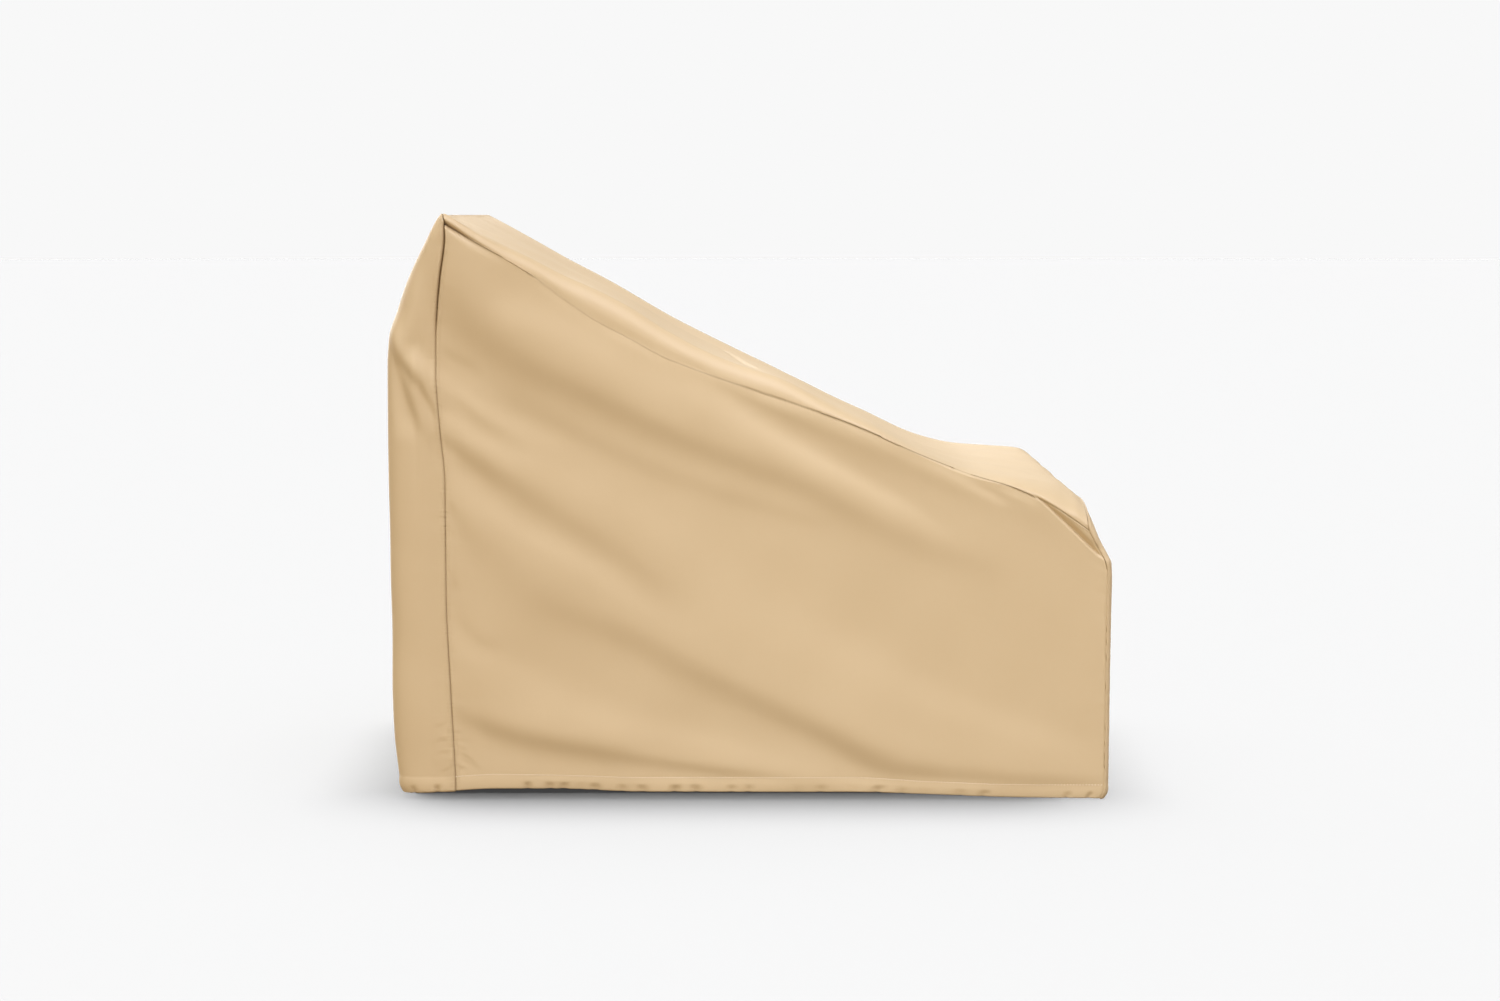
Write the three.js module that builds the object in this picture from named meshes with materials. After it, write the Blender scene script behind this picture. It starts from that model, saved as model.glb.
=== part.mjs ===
// A fitted cover for a deep lounge chair, as it hangs over the chair: five sewn panels, open at the floor.
// Millimetres. X runs from the back to the front, Y from the near side to the far side and Z up.
// The origin is on the floor, under the middle of the cover.
import * as THREE from "three";

// Driving sizes
const coverHalfWidth = 425;
const sheetThickness = 2;
const hemThickness = 3;
const seamGap = 0.3;
const hemTuck = 6; // the cord in the hem draws the lower edge inwards by this much
const hemRows = 2;
const wallRows = 22; // rows of cells from a panel's upper seam down to its hem
const slopeColumns = 30; // cells along the top panel, and along each side panel
const wrapCells = 5; // cells round each corner, from the side seam to the corner's end
const acrossCells = 10; // cells between the two corners
const rowCrowding = 0.05; // crowds the rows towards a wall's two ends
const reliefMargin = 14; // folds fade out over this distance to a seam

const clothColor = 0xd7ba93;
const clothRoughness = 0.85;

// Each rail is one seam on a side of the cover, in side view, with the corner of the cover beside it.
// seamX, seamZ: a point of the seam. edgeX, edgeZ: the corner's own edge beside it.
// radius: how round the corner is.
const rearNear = [
  { seamX: -402, seamZ: 764, edgeX: -403, edgeZ: 775, radius: 12 },
  { seamX: -401, seamZ: 746, edgeX: -421, edgeZ: 748, radius: 12 },
  { seamX: -408, seamZ: 689, edgeX: -450, edgeZ: 689, radius: 22 },
  { seamX: -412, seamZ: 649, edgeX: -464, edgeZ: 649, radius: 28 },
  { seamX: -414, seamZ: 612, edgeX: -476, edgeZ: 612, radius: 32 },
  { seamX: -414, seamZ: 575, edgeX: -478, edgeZ: 575, radius: 35 },
  { seamX: -409, seamZ: 491, edgeX: -478, edgeZ: 491, radius: 35 },
  { seamX: -403, seamZ: 425, edgeX: -477, edgeZ: 425, radius: 35 },
  { seamX: -402, seamZ: 266, edgeX: -475, edgeZ: 266, radius: 35 },
  { seamX: -397, seamZ: 150, edgeX: -474, edgeZ: 150, radius: 34 },
  { seamX: -391, seamZ: 31, edgeX: -471, edgeZ: 30, radius: 30 },
];
const rearFar = [
  { seamX: -403, seamZ: 763, edgeX: -404, edgeZ: 775, radius: 12 },
  { seamX: -404, seamZ: 744, edgeX: -422, edgeZ: 746, radius: 12 },
  { seamX: -410, seamZ: 690, edgeX: -449, edgeZ: 690, radius: 22 },
  { seamX: -411, seamZ: 650, edgeX: -462, edgeZ: 650, radius: 28 },
  { seamX: -409, seamZ: 612, edgeX: -474, edgeZ: 612, radius: 32 },
  { seamX: -407, seamZ: 560, edgeX: -475, edgeZ: 560, radius: 34 },
  { seamX: -404, seamZ: 430, edgeX: -474, edgeZ: 430, radius: 35 },
  { seamX: -398, seamZ: 220, edgeX: -474, edgeZ: 220, radius: 35 },
  { seamX: -394, seamZ: 30, edgeX: -470, edgeZ: 30, radius: 33 },
];
const topNear = [
  { seamX: -402, seamZ: 764, edgeX: -403, edgeZ: 775, radius: 12 },
  { seamX: -366, seamZ: 741, edgeX: -368, edgeZ: 757, radius: 14 },
  { seamX: -296, seamZ: 701, edgeX: -294, edgeZ: 716, radius: 18 },
  { seamX: -205, seamZ: 636, edgeX: -202, edgeZ: 664, radius: 20 },
  { seamX: -109, seamZ: 585, edgeX: -109, edgeZ: 612, radius: 20 },
  { seamX: -14, seamZ: 549, edgeX: -16, edgeZ: 567, radius: 15 },
  { seamX: 78, seamZ: 518, edgeX: 76, edgeZ: 524, radius: 9 },
  { seamX: 157, seamZ: 488, edgeX: 156, edgeZ: 492, radius: 8 },
  { seamX: 223, seamZ: 458, edgeX: 222, edgeZ: 462, radius: 8 },
  { seamX: 289, seamZ: 432, edgeX: 289, edgeZ: 437, radius: 9 },
  { seamX: 348, seamZ: 415, edgeX: 349, edgeZ: 426, radius: 12 },
  { seamX: 375, seamZ: 404, edgeX: 382, edgeZ: 421, radius: 14 },
  { seamX: 401, seamZ: 391, edgeX: 412, edgeZ: 414, radius: 16 },
  { seamX: 428, seamZ: 373, edgeX: 435, edgeZ: 407, radius: 16 },
  { seamX: 448, seamZ: 359, edgeX: 447, edgeZ: 387, radius: 15 },
];
const topFar = [
  { seamX: -403, seamZ: 763, edgeX: -404, edgeZ: 775, radius: 12 },
  { seamX: -364, seamZ: 738, edgeX: -364, edgeZ: 755, radius: 14 },
  { seamX: -248, seamZ: 668, edgeX: -248, edgeZ: 690, radius: 18 },
  { seamX: -110, seamZ: 589, edgeX: -109, edgeZ: 612, radius: 19 },
  { seamX: 30, seamZ: 531, edgeX: 30, edgeZ: 545, radius: 14 },
  { seamX: 169, seamZ: 471, edgeX: 169, edgeZ: 478, radius: 10 },
  { seamX: 262, seamZ: 431, edgeX: 262, edgeZ: 437, radius: 9 },
  { seamX: 308, seamZ: 419, edgeX: 308, edgeZ: 427, radius: 11 },
  { seamX: 357, seamZ: 404, edgeX: 362, edgeZ: 423, radius: 14 },
  { seamX: 398, seamZ: 386, edgeX: 408, edgeZ: 419, radius: 16 },
  { seamX: 421, seamZ: 372, edgeX: 427, edgeZ: 409, radius: 16 },
  { seamX: 440, seamZ: 357, edgeX: 440, edgeZ: 386, radius: 15 },
];
const frontNear = [
  { seamX: 448, seamZ: 359, edgeX: 447, edgeZ: 387, radius: 15 },
  { seamX: 456, seamZ: 340, edgeX: 458, edgeZ: 356, radius: 13 },
  { seamX: 468, seamZ: 319, edgeX: 476, edgeZ: 321, radius: 11 },
  { seamX: 473, seamZ: 300, edgeX: 478, edgeZ: 300, radius: 10 },
  { seamX: 472, seamZ: 240, edgeX: 477, edgeZ: 240, radius: 10 },
  { seamX: 471, seamZ: 100, edgeX: 476, edgeZ: 100, radius: 10 },
  { seamX: 470, seamZ: 20, edgeX: 475, edgeZ: 20, radius: 10 },
];
const frontFar = [
  { seamX: 440, seamZ: 357, edgeX: 440, edgeZ: 386, radius: 15 },
  { seamX: 450, seamZ: 338, edgeX: 452, edgeZ: 354, radius: 13 },
  { seamX: 462, seamZ: 315, edgeX: 469, edgeZ: 318, radius: 11 },
  { seamX: 467, seamZ: 292, edgeX: 472, edgeZ: 292, radius: 10 },
  { seamX: 470, seamZ: 150, edgeX: 475, edgeZ: 150, radius: 10 },
  { seamX: 470, seamZ: 20, edgeX: 474, edgeZ: 20, radius: 10 },
];

// The cover's lower edge along a side, and the line of the hem's stitching above it
const lowerEdge = [
  { x: -476, edge: 7, hem: 28 },
  { x: -400, edge: 8, hem: 31 },
  { x: -340, edge: 12, hem: 34 },
  { x: -260, edge: 12, hem: 33 },
  { x: -140, edge: 7, hem: 30 },
  { x: 130, edge: 7, hem: 30 },
  { x: 230, edge: 4, hem: 25 },
  { x: 340, edge: 1, hem: 21 },
  { x: 476, edge: 0, hem: 20 },
];
const hemPullBack = 11; // how far the lower edge is drawn in at the back and at the front

// Folds that run along a side panel. Each row is a point of a fold's crest, or its trough if out is negative.
// out: how far it stands out. above, below: how wide its flank is over and under that line.
const sideFoldsNear = [
  [
    { x: -400, z: 700, out: 2, above: 30, below: 50 },
    { x: -330, z: 640, out: 6, above: 45, below: 55 },
    { x: -250, z: 589, out: 9, above: 50, below: 60 },
    { x: -132, z: 527, out: 9, above: 45, below: 60 },
    { x: 0, z: 468, out: 11, above: 42, below: 55 },
    { x: 132, z: 402, out: 10, above: 40, below: 50 },
    { x: 200, z: 370, out: 5, above: 34, below: 40 },
    { x: 290, z: 338, out: 0, above: 30, below: 40 },
  ],
  [
    { x: -400, z: 575, out: -5, above: 35, below: 30 },
    { x: -355, z: 543, out: -7, above: 45, below: 28 },
    { x: -290, z: 497, out: -4, above: 45, below: 30 },
    { x: -190, z: 440, out: 0, above: 40, below: 30 },
  ],
  [
    { x: -400, z: 530, out: 0, above: 10, below: 12 },
    { x: -356, z: 497, out: -2.5, above: 11, below: 14 },
    { x: -300, z: 465, out: 0, above: 12, below: 16 },
  ],
  [
    { x: -410, z: 462, out: -3, above: 20, below: 14 },
    { x: -356, z: 420, out: -5, above: 26, below: 20 },
    { x: -290, z: 378, out: -3, above: 28, below: 22 },
    { x: -132, z: 284, out: -2, above: 34, below: 30 },
    { x: -50, z: 235, out: 0, above: 36, below: 34 },
  ],
  [
    { x: -400, z: 350, out: -2, above: 40, below: 45 },
    { x: -357, z: 301, out: -5, above: 38, below: 50 },
    { x: -290, z: 237, out: -4, above: 45, below: 50 },
    { x: -132, z: 145, out: -3, above: 50, below: 40 },
    { x: 0, z: 76, out: -2, above: 60, below: 30 },
    { x: 120, z: 40, out: 0, above: 50, below: 25 },
  ],
  [
    { x: -300, z: 345, out: 0, above: 40, below: 30 },
    { x: -198, z: 285, out: 5, above: 40, below: 40 },
    { x: -66, z: 222, out: 7, above: 70, below: 50 },
    { x: 66, z: 156, out: 9, above: 90, below: 48 },
    { x: 150, z: 124, out: 8, above: 90, below: 42 },
    { x: 265, z: 84, out: 4, above: 80, below: 34 },
    { x: 400, z: 60, out: 0, above: 70, below: 30 },
  ],
  [
    { x: -420, z: 130, out: 2, above: 45, below: 22 },
    { x: -330, z: 112, out: 5, above: 45, below: 24 },
    { x: -200, z: 86, out: 5, above: 40, below: 20 },
    { x: -66, z: 62, out: 2, above: 30, below: 16 },
    { x: 0, z: 50, out: 0, above: 30, below: 16 },
  ],
  [
    { x: 360, z: 412, out: 0, above: 10, below: 30 },
    { x: 392, z: 386, out: 6, above: 8, below: 34 },
    { x: 424, z: 352, out: 9, above: 8, below: 36 },
    { x: 446, z: 332, out: 6, above: 8, below: 30 },
    { x: 474, z: 312, out: 0, above: 8, below: 20 },
  ],
  [
    { x: 380, z: 399, out: 0, above: 10, below: 8 },
    { x: 400, z: 383, out: -5, above: 12, below: 9 },
    { x: 428, z: 360, out: -8, above: 14, below: 10 },
    { x: 452, z: 338, out: -4, above: 12, below: 8 },
    { x: 466, z: 325, out: 0, above: 10, below: 8 },
  ],
];
const sideFoldsFar = [
  [
    { x: -400, z: 690, out: 2, above: 36, below: 50 },
    { x: -300, z: 612, out: 7, above: 48, below: 58 },
    { x: -150, z: 530, out: 9, above: 48, below: 60 },
    { x: 20, z: 448, out: 10, above: 42, below: 56 },
    { x: 150, z: 392, out: 5, above: 36, below: 44 },
    { x: 280, z: 350, out: 0, above: 30, below: 40 },
  ],
  [
    { x: -410, z: 545, out: -5, above: 40, below: 32 },
    { x: -330, z: 500, out: -6, above: 45, below: 32 },
    { x: -210, z: 430, out: -2, above: 40, below: 32 },
    { x: -120, z: 390, out: 0, above: 40, below: 32 },
  ],
  [
    { x: -410, z: 400, out: -3, above: 34, below: 30 },
    { x: -320, z: 330, out: -6, above: 44, below: 44 },
    { x: -180, z: 230, out: -4, above: 48, below: 44 },
    { x: -40, z: 140, out: -3, above: 54, below: 36 },
    { x: 90, z: 70, out: 0, above: 50, below: 28 },
  ],
  [
    { x: -220, z: 320, out: 0, above: 50, below: 40 },
    { x: -60, z: 240, out: 7, above: 76, below: 50 },
    { x: 90, z: 170, out: 9, above: 88, below: 50 },
    { x: 240, z: 110, out: 5, above: 80, below: 40 },
    { x: 390, z: 70, out: 0, above: 70, below: 34 },
  ],
  [
    { x: -410, z: 150, out: 3, above: 46, below: 26 },
    { x: -260, z: 112, out: 5, above: 44, below: 26 },
    { x: -80, z: 76, out: 0, above: 34, below: 20 },
  ],
  [
    { x: 352, z: 408, out: 0, above: 10, below: 30 },
    { x: 390, z: 374, out: 6, above: 9, below: 34 },
    { x: 430, z: 336, out: 7, above: 9, below: 32 },
    { x: 468, z: 308, out: 0, above: 8, below: 20 },
  ],
];

// Folds that hang down a back or front panel. Each row is a point of a fold: y across the panel, z up it.
// near, far: how wide its flank is towards the near side and towards the far side.
const backFolds = [
  [
    { z: 480, y: -436, out: 0, near: 16, far: 14 },
    { z: 520, y: -432, out: -4, near: 14, far: 12 },
    { z: 575, y: -430, out: -5, near: 12, far: 12 },
    { z: 615, y: -440, out: 0, near: 10, far: 12 },
  ],
  [
    { z: 60, y: -180, out: 8, near: 70, far: 60 },
    { z: 300, y: -220, out: 8, near: 60, far: 52 },
    { z: 480, y: -290, out: 5, near: 46, far: 40 },
    { z: 600, y: -370, out: 0, near: 30, far: 30 },
  ],
  [
    { z: 60, y: -60, out: -7, near: 60, far: 64 },
    { z: 280, y: -110, out: -7, near: 56, far: 60 },
    { z: 470, y: -200, out: -3, near: 50, far: 50 },
    { z: 590, y: -280, out: 0, near: 40, far: 40 },
  ],
  [
    { z: 60, y: 120, out: 9, near: 70, far: 76 },
    { z: 260, y: 160, out: 8, near: 60, far: 70 },
    { z: 450, y: 250, out: 5, near: 50, far: 50 },
    { z: 590, y: 350, out: 0, near: 36, far: 36 },
  ],
  [
    { z: 60, y: 270, out: -6, near: 50, far: 50 },
    { z: 260, y: 300, out: -6, near: 46, far: 46 },
    { z: 430, y: 350, out: 0, near: 36, far: 36 },
  ],
];
const frontFolds = [
  [
    { z: 30, y: -230, out: 5, near: 60, far: 50 },
    { z: 180, y: -270, out: 5, near: 50, far: 46 },
    { z: 320, y: -350, out: 0, near: 34, far: 30 },
  ],
  [
    { z: 30, y: -60, out: -5, near: 60, far: 60 },
    { z: 180, y: -110, out: -4, near: 56, far: 56 },
    { z: 300, y: -190, out: 0, near: 40, far: 40 },
  ],
  [
    { z: 30, y: 150, out: 6, near: 60, far: 70 },
    { z: 190, y: 210, out: 5, near: 54, far: 60 },
    { z: 320, y: 320, out: 0, near: 36, far: 36 },
  ],
];

// Folds of the top panel, as points from the ridge down the slope: y across it at x along it.
const topFolds = [
  [
    { x: -390, y: -330, out: 0, near: 30, far: 40 },
    { x: -280, y: -240, out: 5, near: 50, far: 60 },
    { x: -120, y: -150, out: 6, near: 60, far: 60 },
    { x: 60, y: -90, out: 3, near: 60, far: 60 },
    { x: 200, y: -60, out: 0, near: 60, far: 60 },
  ],
  [
    { x: -390, y: 120, out: 0, near: 60, far: 60 },
    { x: -240, y: 130, out: -6, near: 80, far: 70 },
    { x: -60, y: 100, out: -9, near: 90, far: 90 },
    { x: 120, y: 60, out: -8, near: 100, far: 100 },
    { x: 280, y: 20, out: 0, near: 90, far: 90 },
  ],
  [
    { x: -360, y: 360, out: 0, near: 40, far: 30 },
    { x: -220, y: 280, out: 5, near: 60, far: 46 },
    { x: -40, y: 230, out: 6, near: 60, far: 60 },
    { x: 150, y: 210, out: 0, near: 60, far: 60 },
  ],
  [
    { x: 250, y: -200, out: 0, near: 60, far: 60 },
    { x: 330, y: -230, out: 4, near: 60, far: 60 },
    { x: 420, y: -300, out: 0, near: 40, far: 40 },
  ],
];

// Value of one column of a table at a place between its rows, smooth and with no overshoot.
function between(rows, key, at, column) {
  const last = rows.length - 1;
  if (at <= rows[0][key]) return rows[0][column];
  if (at >= rows[last][key]) return rows[last][column];
  const slope = (i) =>
    (rows[i + 1][column] - rows[i][column]) / (rows[i + 1][key] - rows[i][key]);
  const tangent = (i) => {
    if (i === 0) return slope(0);
    if (i === last) return slope(last - 1);
    const before = slope(i - 1);
    const after = slope(i);
    return before * after <= 0 ? 0 : (2 * before * after) / (before + after);
  };
  const i = rows.findIndex((row) => row[key] > at) - 1;
  const span = rows[i + 1][key] - rows[i][key];
  const t = (at - rows[i][key]) / span;
  const rise = t * t * (3 - 2 * t);
  return (
    rows[i][column] * (1 - rise) +
    rows[i + 1][column] * rise +
    span * t * (1 - t) * ((1 - t) * tangent(i) - t * tangent(i + 1))
  );
}

// A rail's rows get their share of the way along it, measured on the seam and the corner's edge together.
function rail(rows) {
  let length = 0;
  const measured = rows.map((row, i) => {
    const before = rows[Math.max(i - 1, 0)];
    length += Math.hypot(row.seamX - before.seamX, row.seamZ - before.seamZ);
    length += Math.hypot(row.edgeX - before.edgeX, row.edgeZ - before.edgeZ);
    return { ...row, length };
  });
  const columns = ["seamX", "seamZ", "edgeX", "edgeZ", "radius"];
  return (share) =>
    Object.fromEntries(
      columns.map((column) => [column, between(measured, "length", share * length, column)]),
    );
}

// One corner of a section, from the side seam to the end of its round: points and their outward normals.
// side is -1 on the near side and 1 on the far side.
function cornerPoints(at, side, halfWidth) {
  const way = new THREE.Vector2(at.edgeX - at.seamX, at.edgeZ - at.seamZ);
  const reach = way.length();
  way.normalize();
  const turned = new THREE.Vector3(way.x, 0, way.y);
  const straight = Math.max(reach - at.radius, 0);
  const startAngle = reach < at.radius ? Math.asin(1 - reach / at.radius) : 0;
  const whole = straight + at.radius * (Math.PI / 2 - startAngle);
  return Array.from({ length: wrapCells + 1 }, (_, k) => {
    const gone = (whole * k) / wrapCells;
    const angle = startAngle + Math.max(gone - straight, 0) / at.radius;
    const onRound = gone >= straight;
    const along = onRound ? reach - at.radius * (1 - Math.sin(angle)) : gone;
    const inset = onRound ? at.radius * (1 - Math.cos(angle)) : 0;
    return {
      reach,
      radius: at.radius,
      point: new THREE.Vector3(
        at.seamX + way.x * along,
        side * (halfWidth - inset),
        at.seamZ + way.y * along,
      ),
      normal: new THREE.Vector3(0, side * Math.cos(onRound ? angle : 0), 0)
        .addScaledVector(turned, Math.sin(onRound ? angle : 0))
        .normalize(),
    };
  });
}

// A section across the cover, from the near seam round both corners to the far seam.
function section(near, far, halfWidth) {
  const nearCorner = cornerPoints(near, -1, halfWidth);
  const farCorner = cornerPoints(far, 1, halfWidth).reverse();
  const from = nearCorner[wrapCells];
  const to = farCorner[0];
  const middle = Array.from({ length: acrossCells - 1 }, (_, k) => {
    const share = (k + 1) / acrossCells;
    return {
      point: from.point.clone().lerp(to.point, share),
      normal: from.normal.clone().lerp(to.normal, share).normalize(),
    };
  });
  return [...nearCorner, ...middle, ...farCorner];
}

const smoothStep = (t) => THREE.MathUtils.smoothstep(t, 0, 1);

// The share of each row down a wall, with the rows crowded towards both ends
const rowShares = Array.from({ length: wallRows + 1 }, (_, row) => {
  const t = row / wallRows;
  return t - rowCrowding * Math.sin(2 * Math.PI * t);
});

// How far down the hem a row of a wall lies, from 0 at the stitching to 1 at the lower edge
const hemShare = (row) => Math.max(row - wallRows, 0) / hemRows;

// The corner of a wall at one of its hem's rows: the wall's last corner, lowered and drawn in.
function hemCorner(last, row, direction) {
  const pull = direction * hemPullBack * hemShare(row) ** 3;
  const atCorner = 1 - smoothStep(Math.abs(last.edgeX - last.seamX) / last.radius / 2);
  const lowered = (x, z) =>
    THREE.MathUtils.lerp(z, between(lowerEdge, "x", x, "edge"), hemShare(row));
  return {
    seamX: last.seamX - pull * atCorner,
    seamZ: lowered(last.seamX, last.seamZ),
    edgeX: last.edgeX - pull,
    edgeZ: lowered(last.edgeX, last.edgeZ),
    radius: last.radius,
  };
}

// All the sections of the back or of the front, from its upper seam to its lower edge.
// direction is -1 at the back and 1 at the front.
function wallSections(nearRows, farRows, direction) {
  const near = rail(nearRows);
  const far = rail(farRows);
  return Array.from({ length: wallRows + hemRows + 1 }, (_, row) => {
    const share = rowShares[Math.min(row, wallRows)];
    return section(
      hemCorner(near(share), row, direction),
      hemCorner(far(share), row, direction),
      coverHalfWidth - hemTuck * hemShare(row) ** 2,
    );
  });
}

// How far the folds move a point outwards. A fold runs along the column key, and across is the other one.
function foldRelief(folds, key, across, flanks, place) {
  return folds.reduce((sum, fold) => {
    if (place[key] < fold[0][key] || place[key] > fold.at(-1)[key]) return sum;
    const value = (column) => between(fold, key, place[key], column);
    const off = place[across] - value(across);
    const width = value(off > 0 ? flanks.high : flanks.low);
    return sum + value("out") * Math.exp(-((off / width) ** 2));
  }, 0);
}

// Where a point of a section lies across a panel, if the wrapped corners were opened out flat.
function flatAcross(points, k) {
  const end = points.length - 1;
  const { point } = points[k];
  if (k > wrapCells && k < end - wrapCells) return point.y;
  const corner = points[k <= wrapCells ? wrapCells : end - wrapCells].point;
  return corner.y + Math.sign(point.y) * point.distanceTo(corner);
}

// The grid of a panel made of sections, with its folds. Its seams stay where they are.
function foldedSections(sections, folds, key, sewnEnds) {
  return sections.map((points, row) =>
    points.map((at, k) => {
      const margins = [points[0], points.at(-1)];
      if (sewnEnds.includes(0)) margins.push(sections[0][k]);
      if (sewnEnds.includes(1)) margins.push(sections.at(-1)[k]);
      const kept = margins.reduce(
        (share, seam) => share * smoothStep(at.point.distanceTo(seam.point) / reliefMargin),
        1,
      );
      const place = { x: at.point.x, z: at.point.z, y: flatAcross(points, k) };
      const out = foldRelief(folds, key, "y", { low: "near", high: "far" }, place);
      const sewn = kept === 0;
      return {
        point: at.point.clone().addScaledVector(at.normal, out * kept),
        normal: sewn ? at.normal : undefined,
      };
    }),
  );
}

// How far a corner's round still draws the cloth in, at a distance past its seam.
function roundLeft(corner, past) {
  const left = THREE.MathUtils.clamp(corner.radius - corner.reach - past, 0, corner.radius);
  return corner.radius - Math.sqrt(corner.radius ** 2 - left ** 2);
}

// One side panel: the surface between its four edges, which carries on the corners' rounds past its seams.
function sideGrid(side, folds) {
  const end = side < 0 ? 0 : -1;
  const rear = backSections.map((points) => points.at(end));
  const front = frontSections.map((points) => points.at(end));
  const upper = topSections.map((points) => points.at(end));
  const onHem = (across, row) => {
    const x = THREE.MathUtils.lerp(rear[row].point.x, front[row].point.x, across);
    const height = (column) => between(lowerEdge, "x", x, column);
    const z = THREE.MathUtils.lerp(height("hem"), height("edge"), hemShare(row));
    return new THREE.Vector3(x, 0, z);
  };
  const onWall = (column, across, row) => {
    const down = rowShares[row];
    const bowOf = (seam) =>
      seam[row].point.clone().sub(seam[0].point.clone().lerp(seam[wallRows].point, down));
    return upper[column].point
      .clone()
      .lerp(onHem(across, wallRows), down)
      .addScaledVector(bowOf(rear), 1 - across)
      .addScaledVector(bowOf(front), across);
  };
  return rear.map((rearEnd, row) =>
    upper.map((upperEnd, column) => {
      if (column === 0) return rearEnd;
      if (column === slopeColumns) return front[row];
      if (row === 0) return upperEnd;
      const across = column / slopeColumns;
      const point = row < wallRows ? onWall(column, across, row) : onHem(across, row);
      const pastSeams = [
        upperEnd.point.z - point.z,
        front[row].point.x - point.x,
        point.x - rearEnd.point.x,
      ];
      const kept = pastSeams.reduce((share, past) => share * smoothStep(past / reliefMargin), 1);
      const inset = Math.max(
        roundLeft(upperEnd, pastSeams[0]),
        roundLeft(front[row], pastSeams[1]),
      );
      const out = foldRelief(folds, "x", "z", { low: "below", high: "above" }, point);
      const tuck = hemTuck * hemShare(row) ** 2;
      point.y = side * (coverHalfWidth - tuck - inset + out * kept * (1 - hemShare(row) / 2));
      return { point };
    }),
  );
}

// Moves an edge's point into its panel, square to the seam.
function stepOff(point, inwards, seam, sign) {
  const way = seam.clone().normalize();
  const square = inwards.clone().addScaledVector(way, -inwards.dot(way)).normalize();
  point.addScaledVector(square, (sign * seamGap) / 2);
}

// A closed sheet of cloth from a grid of outer points. turn is 1 where down the grid, then along it, turns
// outwards. A sewn edge keeps half of the seam's gap and the seam's own normals, so panels end face to face.
function clothSheet(name, grid, turn, sewn, thickness) {
  const lastRow = grid.length - 1;
  const lastColumn = grid[0].length - 1;
  const { clamp } = THREE.MathUtils;
  const pointAt = (row, column) => grid[clamp(row, 0, lastRow)][clamp(column, 0, lastColumn)].point;
  const positions = [[], []];
  for (let row = 0; row <= lastRow; row++) {
    for (let column = 0; column <= lastColumn; column++) {
      const { point, normal } = grid[row][column];
      const down = pointAt(row + 1, column).clone().sub(pointAt(row - 1, column));
      const along = pointAt(row, column + 1).clone().sub(pointAt(row, column - 1));
      const onSeam =
        (sewn.first && row === 0) ||
        (sewn.last && row === lastRow) ||
        column === 0 ||
        column === lastColumn;
      const out = onSeam ? normal : down.clone().cross(along).multiplyScalar(turn).normalize();
      const outer = point.clone();
      if (sewn.first && row === 0) stepOff(outer, down, along, 1);
      if (sewn.last && row === lastRow) stepOff(outer, down, along, -1);
      if (column === 0) stepOff(outer, along, down, 1);
      if (column === lastColumn) stepOff(outer, along, down, -1);
      positions[0].push(outer);
      positions[1].push(outer.clone().addScaledVector(out, -thickness(row)));
    }
  }
  const wide = lastColumn + 1;
  const inside = positions[0].length;
  const index = [];
  const face = (a, b, c) => (turn > 0 ? index.push(a, b, c) : index.push(a, c, b));
  const rim = (a, b) => {
    const later = a < b ? b + inside : a + inside; // both panels of a seam cross its rim the same way
    face(a, b, later);
    face(a < b ? a : b, b + inside, a + inside);
  };
  for (let row = 0; row < lastRow; row++) {
    for (let column = 0; column < lastColumn; column++) {
      const a = row * wide + column;
      face(a, a + wide, a + wide + 1);
      face(a, a + wide + 1, a + 1);
      face(a + inside, a + wide + 1 + inside, a + wide + inside);
      face(a + inside, a + 1 + inside, a + wide + 1 + inside);
    }
  }
  for (let column = 0; column < lastColumn; column++) {
    rim(column, column + 1);
    rim(lastRow * wide + column + 1, lastRow * wide + column);
  }
  for (let row = 0; row < lastRow; row++) {
    rim((row + 1) * wide, row * wide);
    rim(row * wide + lastColumn, (row + 1) * wide + lastColumn);
  }
  const geometry = new THREE.BufferGeometry()
    .setFromPoints(positions.flat())
    .setIndex(index);
  geometry.computeVertexNormals();
  const mesh = new THREE.Mesh(
    geometry,
    new THREE.MeshStandardMaterial({ color: clothColor, roughness: clothRoughness }),
  );
  mesh.name = name;
  return mesh;
}

// A seam across the cover faces half way between the two panels that it joins.
function faceHalfWay(seam, before, after) {
  for (let k = 1; k < seam.length - 1; k++) {
    const along = after[k].point.clone().sub(before[k].point);
    const across = seam[k + 1].point.clone().sub(seam[k - 1].point);
    seam[k].normal.copy(along.cross(across).normalize());
  }
}

const backSections = wallSections(rearNear, rearFar, -1);
const frontSections = wallSections(frontNear, frontFar, 1);
const topSections = Array.from({ length: slopeColumns + 1 }, (_, column) => {
  if (column === 0) return backSections[0];
  if (column === slopeColumns) return frontSections[0];
  const share = column / slopeColumns;
  return section(rail(topNear)(share), rail(topFar)(share), coverHalfWidth);
});
faceHalfWay(topSections[0], backSections[1], topSections[1]);
faceHalfWay(topSections.at(-1), topSections.at(-2), frontSections[1]);

const hemmed = (row) => (row > wallRows ? hemThickness : sheetThickness);
const plain = () => sheetThickness;
const upperSeam = { first: true, last: false };
const bothSeams = { first: true, last: true };

const cover = new THREE.Group();
cover.add(
  clothSheet("side_near", sideGrid(-1, sideFoldsNear), 1, upperSeam, hemmed),
  clothSheet("side_far", sideGrid(1, sideFoldsFar), -1, upperSeam, hemmed),
  clothSheet("back", foldedSections(backSections, backFolds, "z", [0]), -1, upperSeam, hemmed),
  clothSheet("front", foldedSections(frontSections, frontFolds, "z", [0]), 1, upperSeam, hemmed),
  clothSheet("top", foldedSections(topSections, topFolds, "x", [0, 1]), 1, bothSeams, plain),
);

export default cover;
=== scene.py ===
import math

import bmesh
import bpy
import numpy as np
from mathutils import Matrix, Vector


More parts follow.
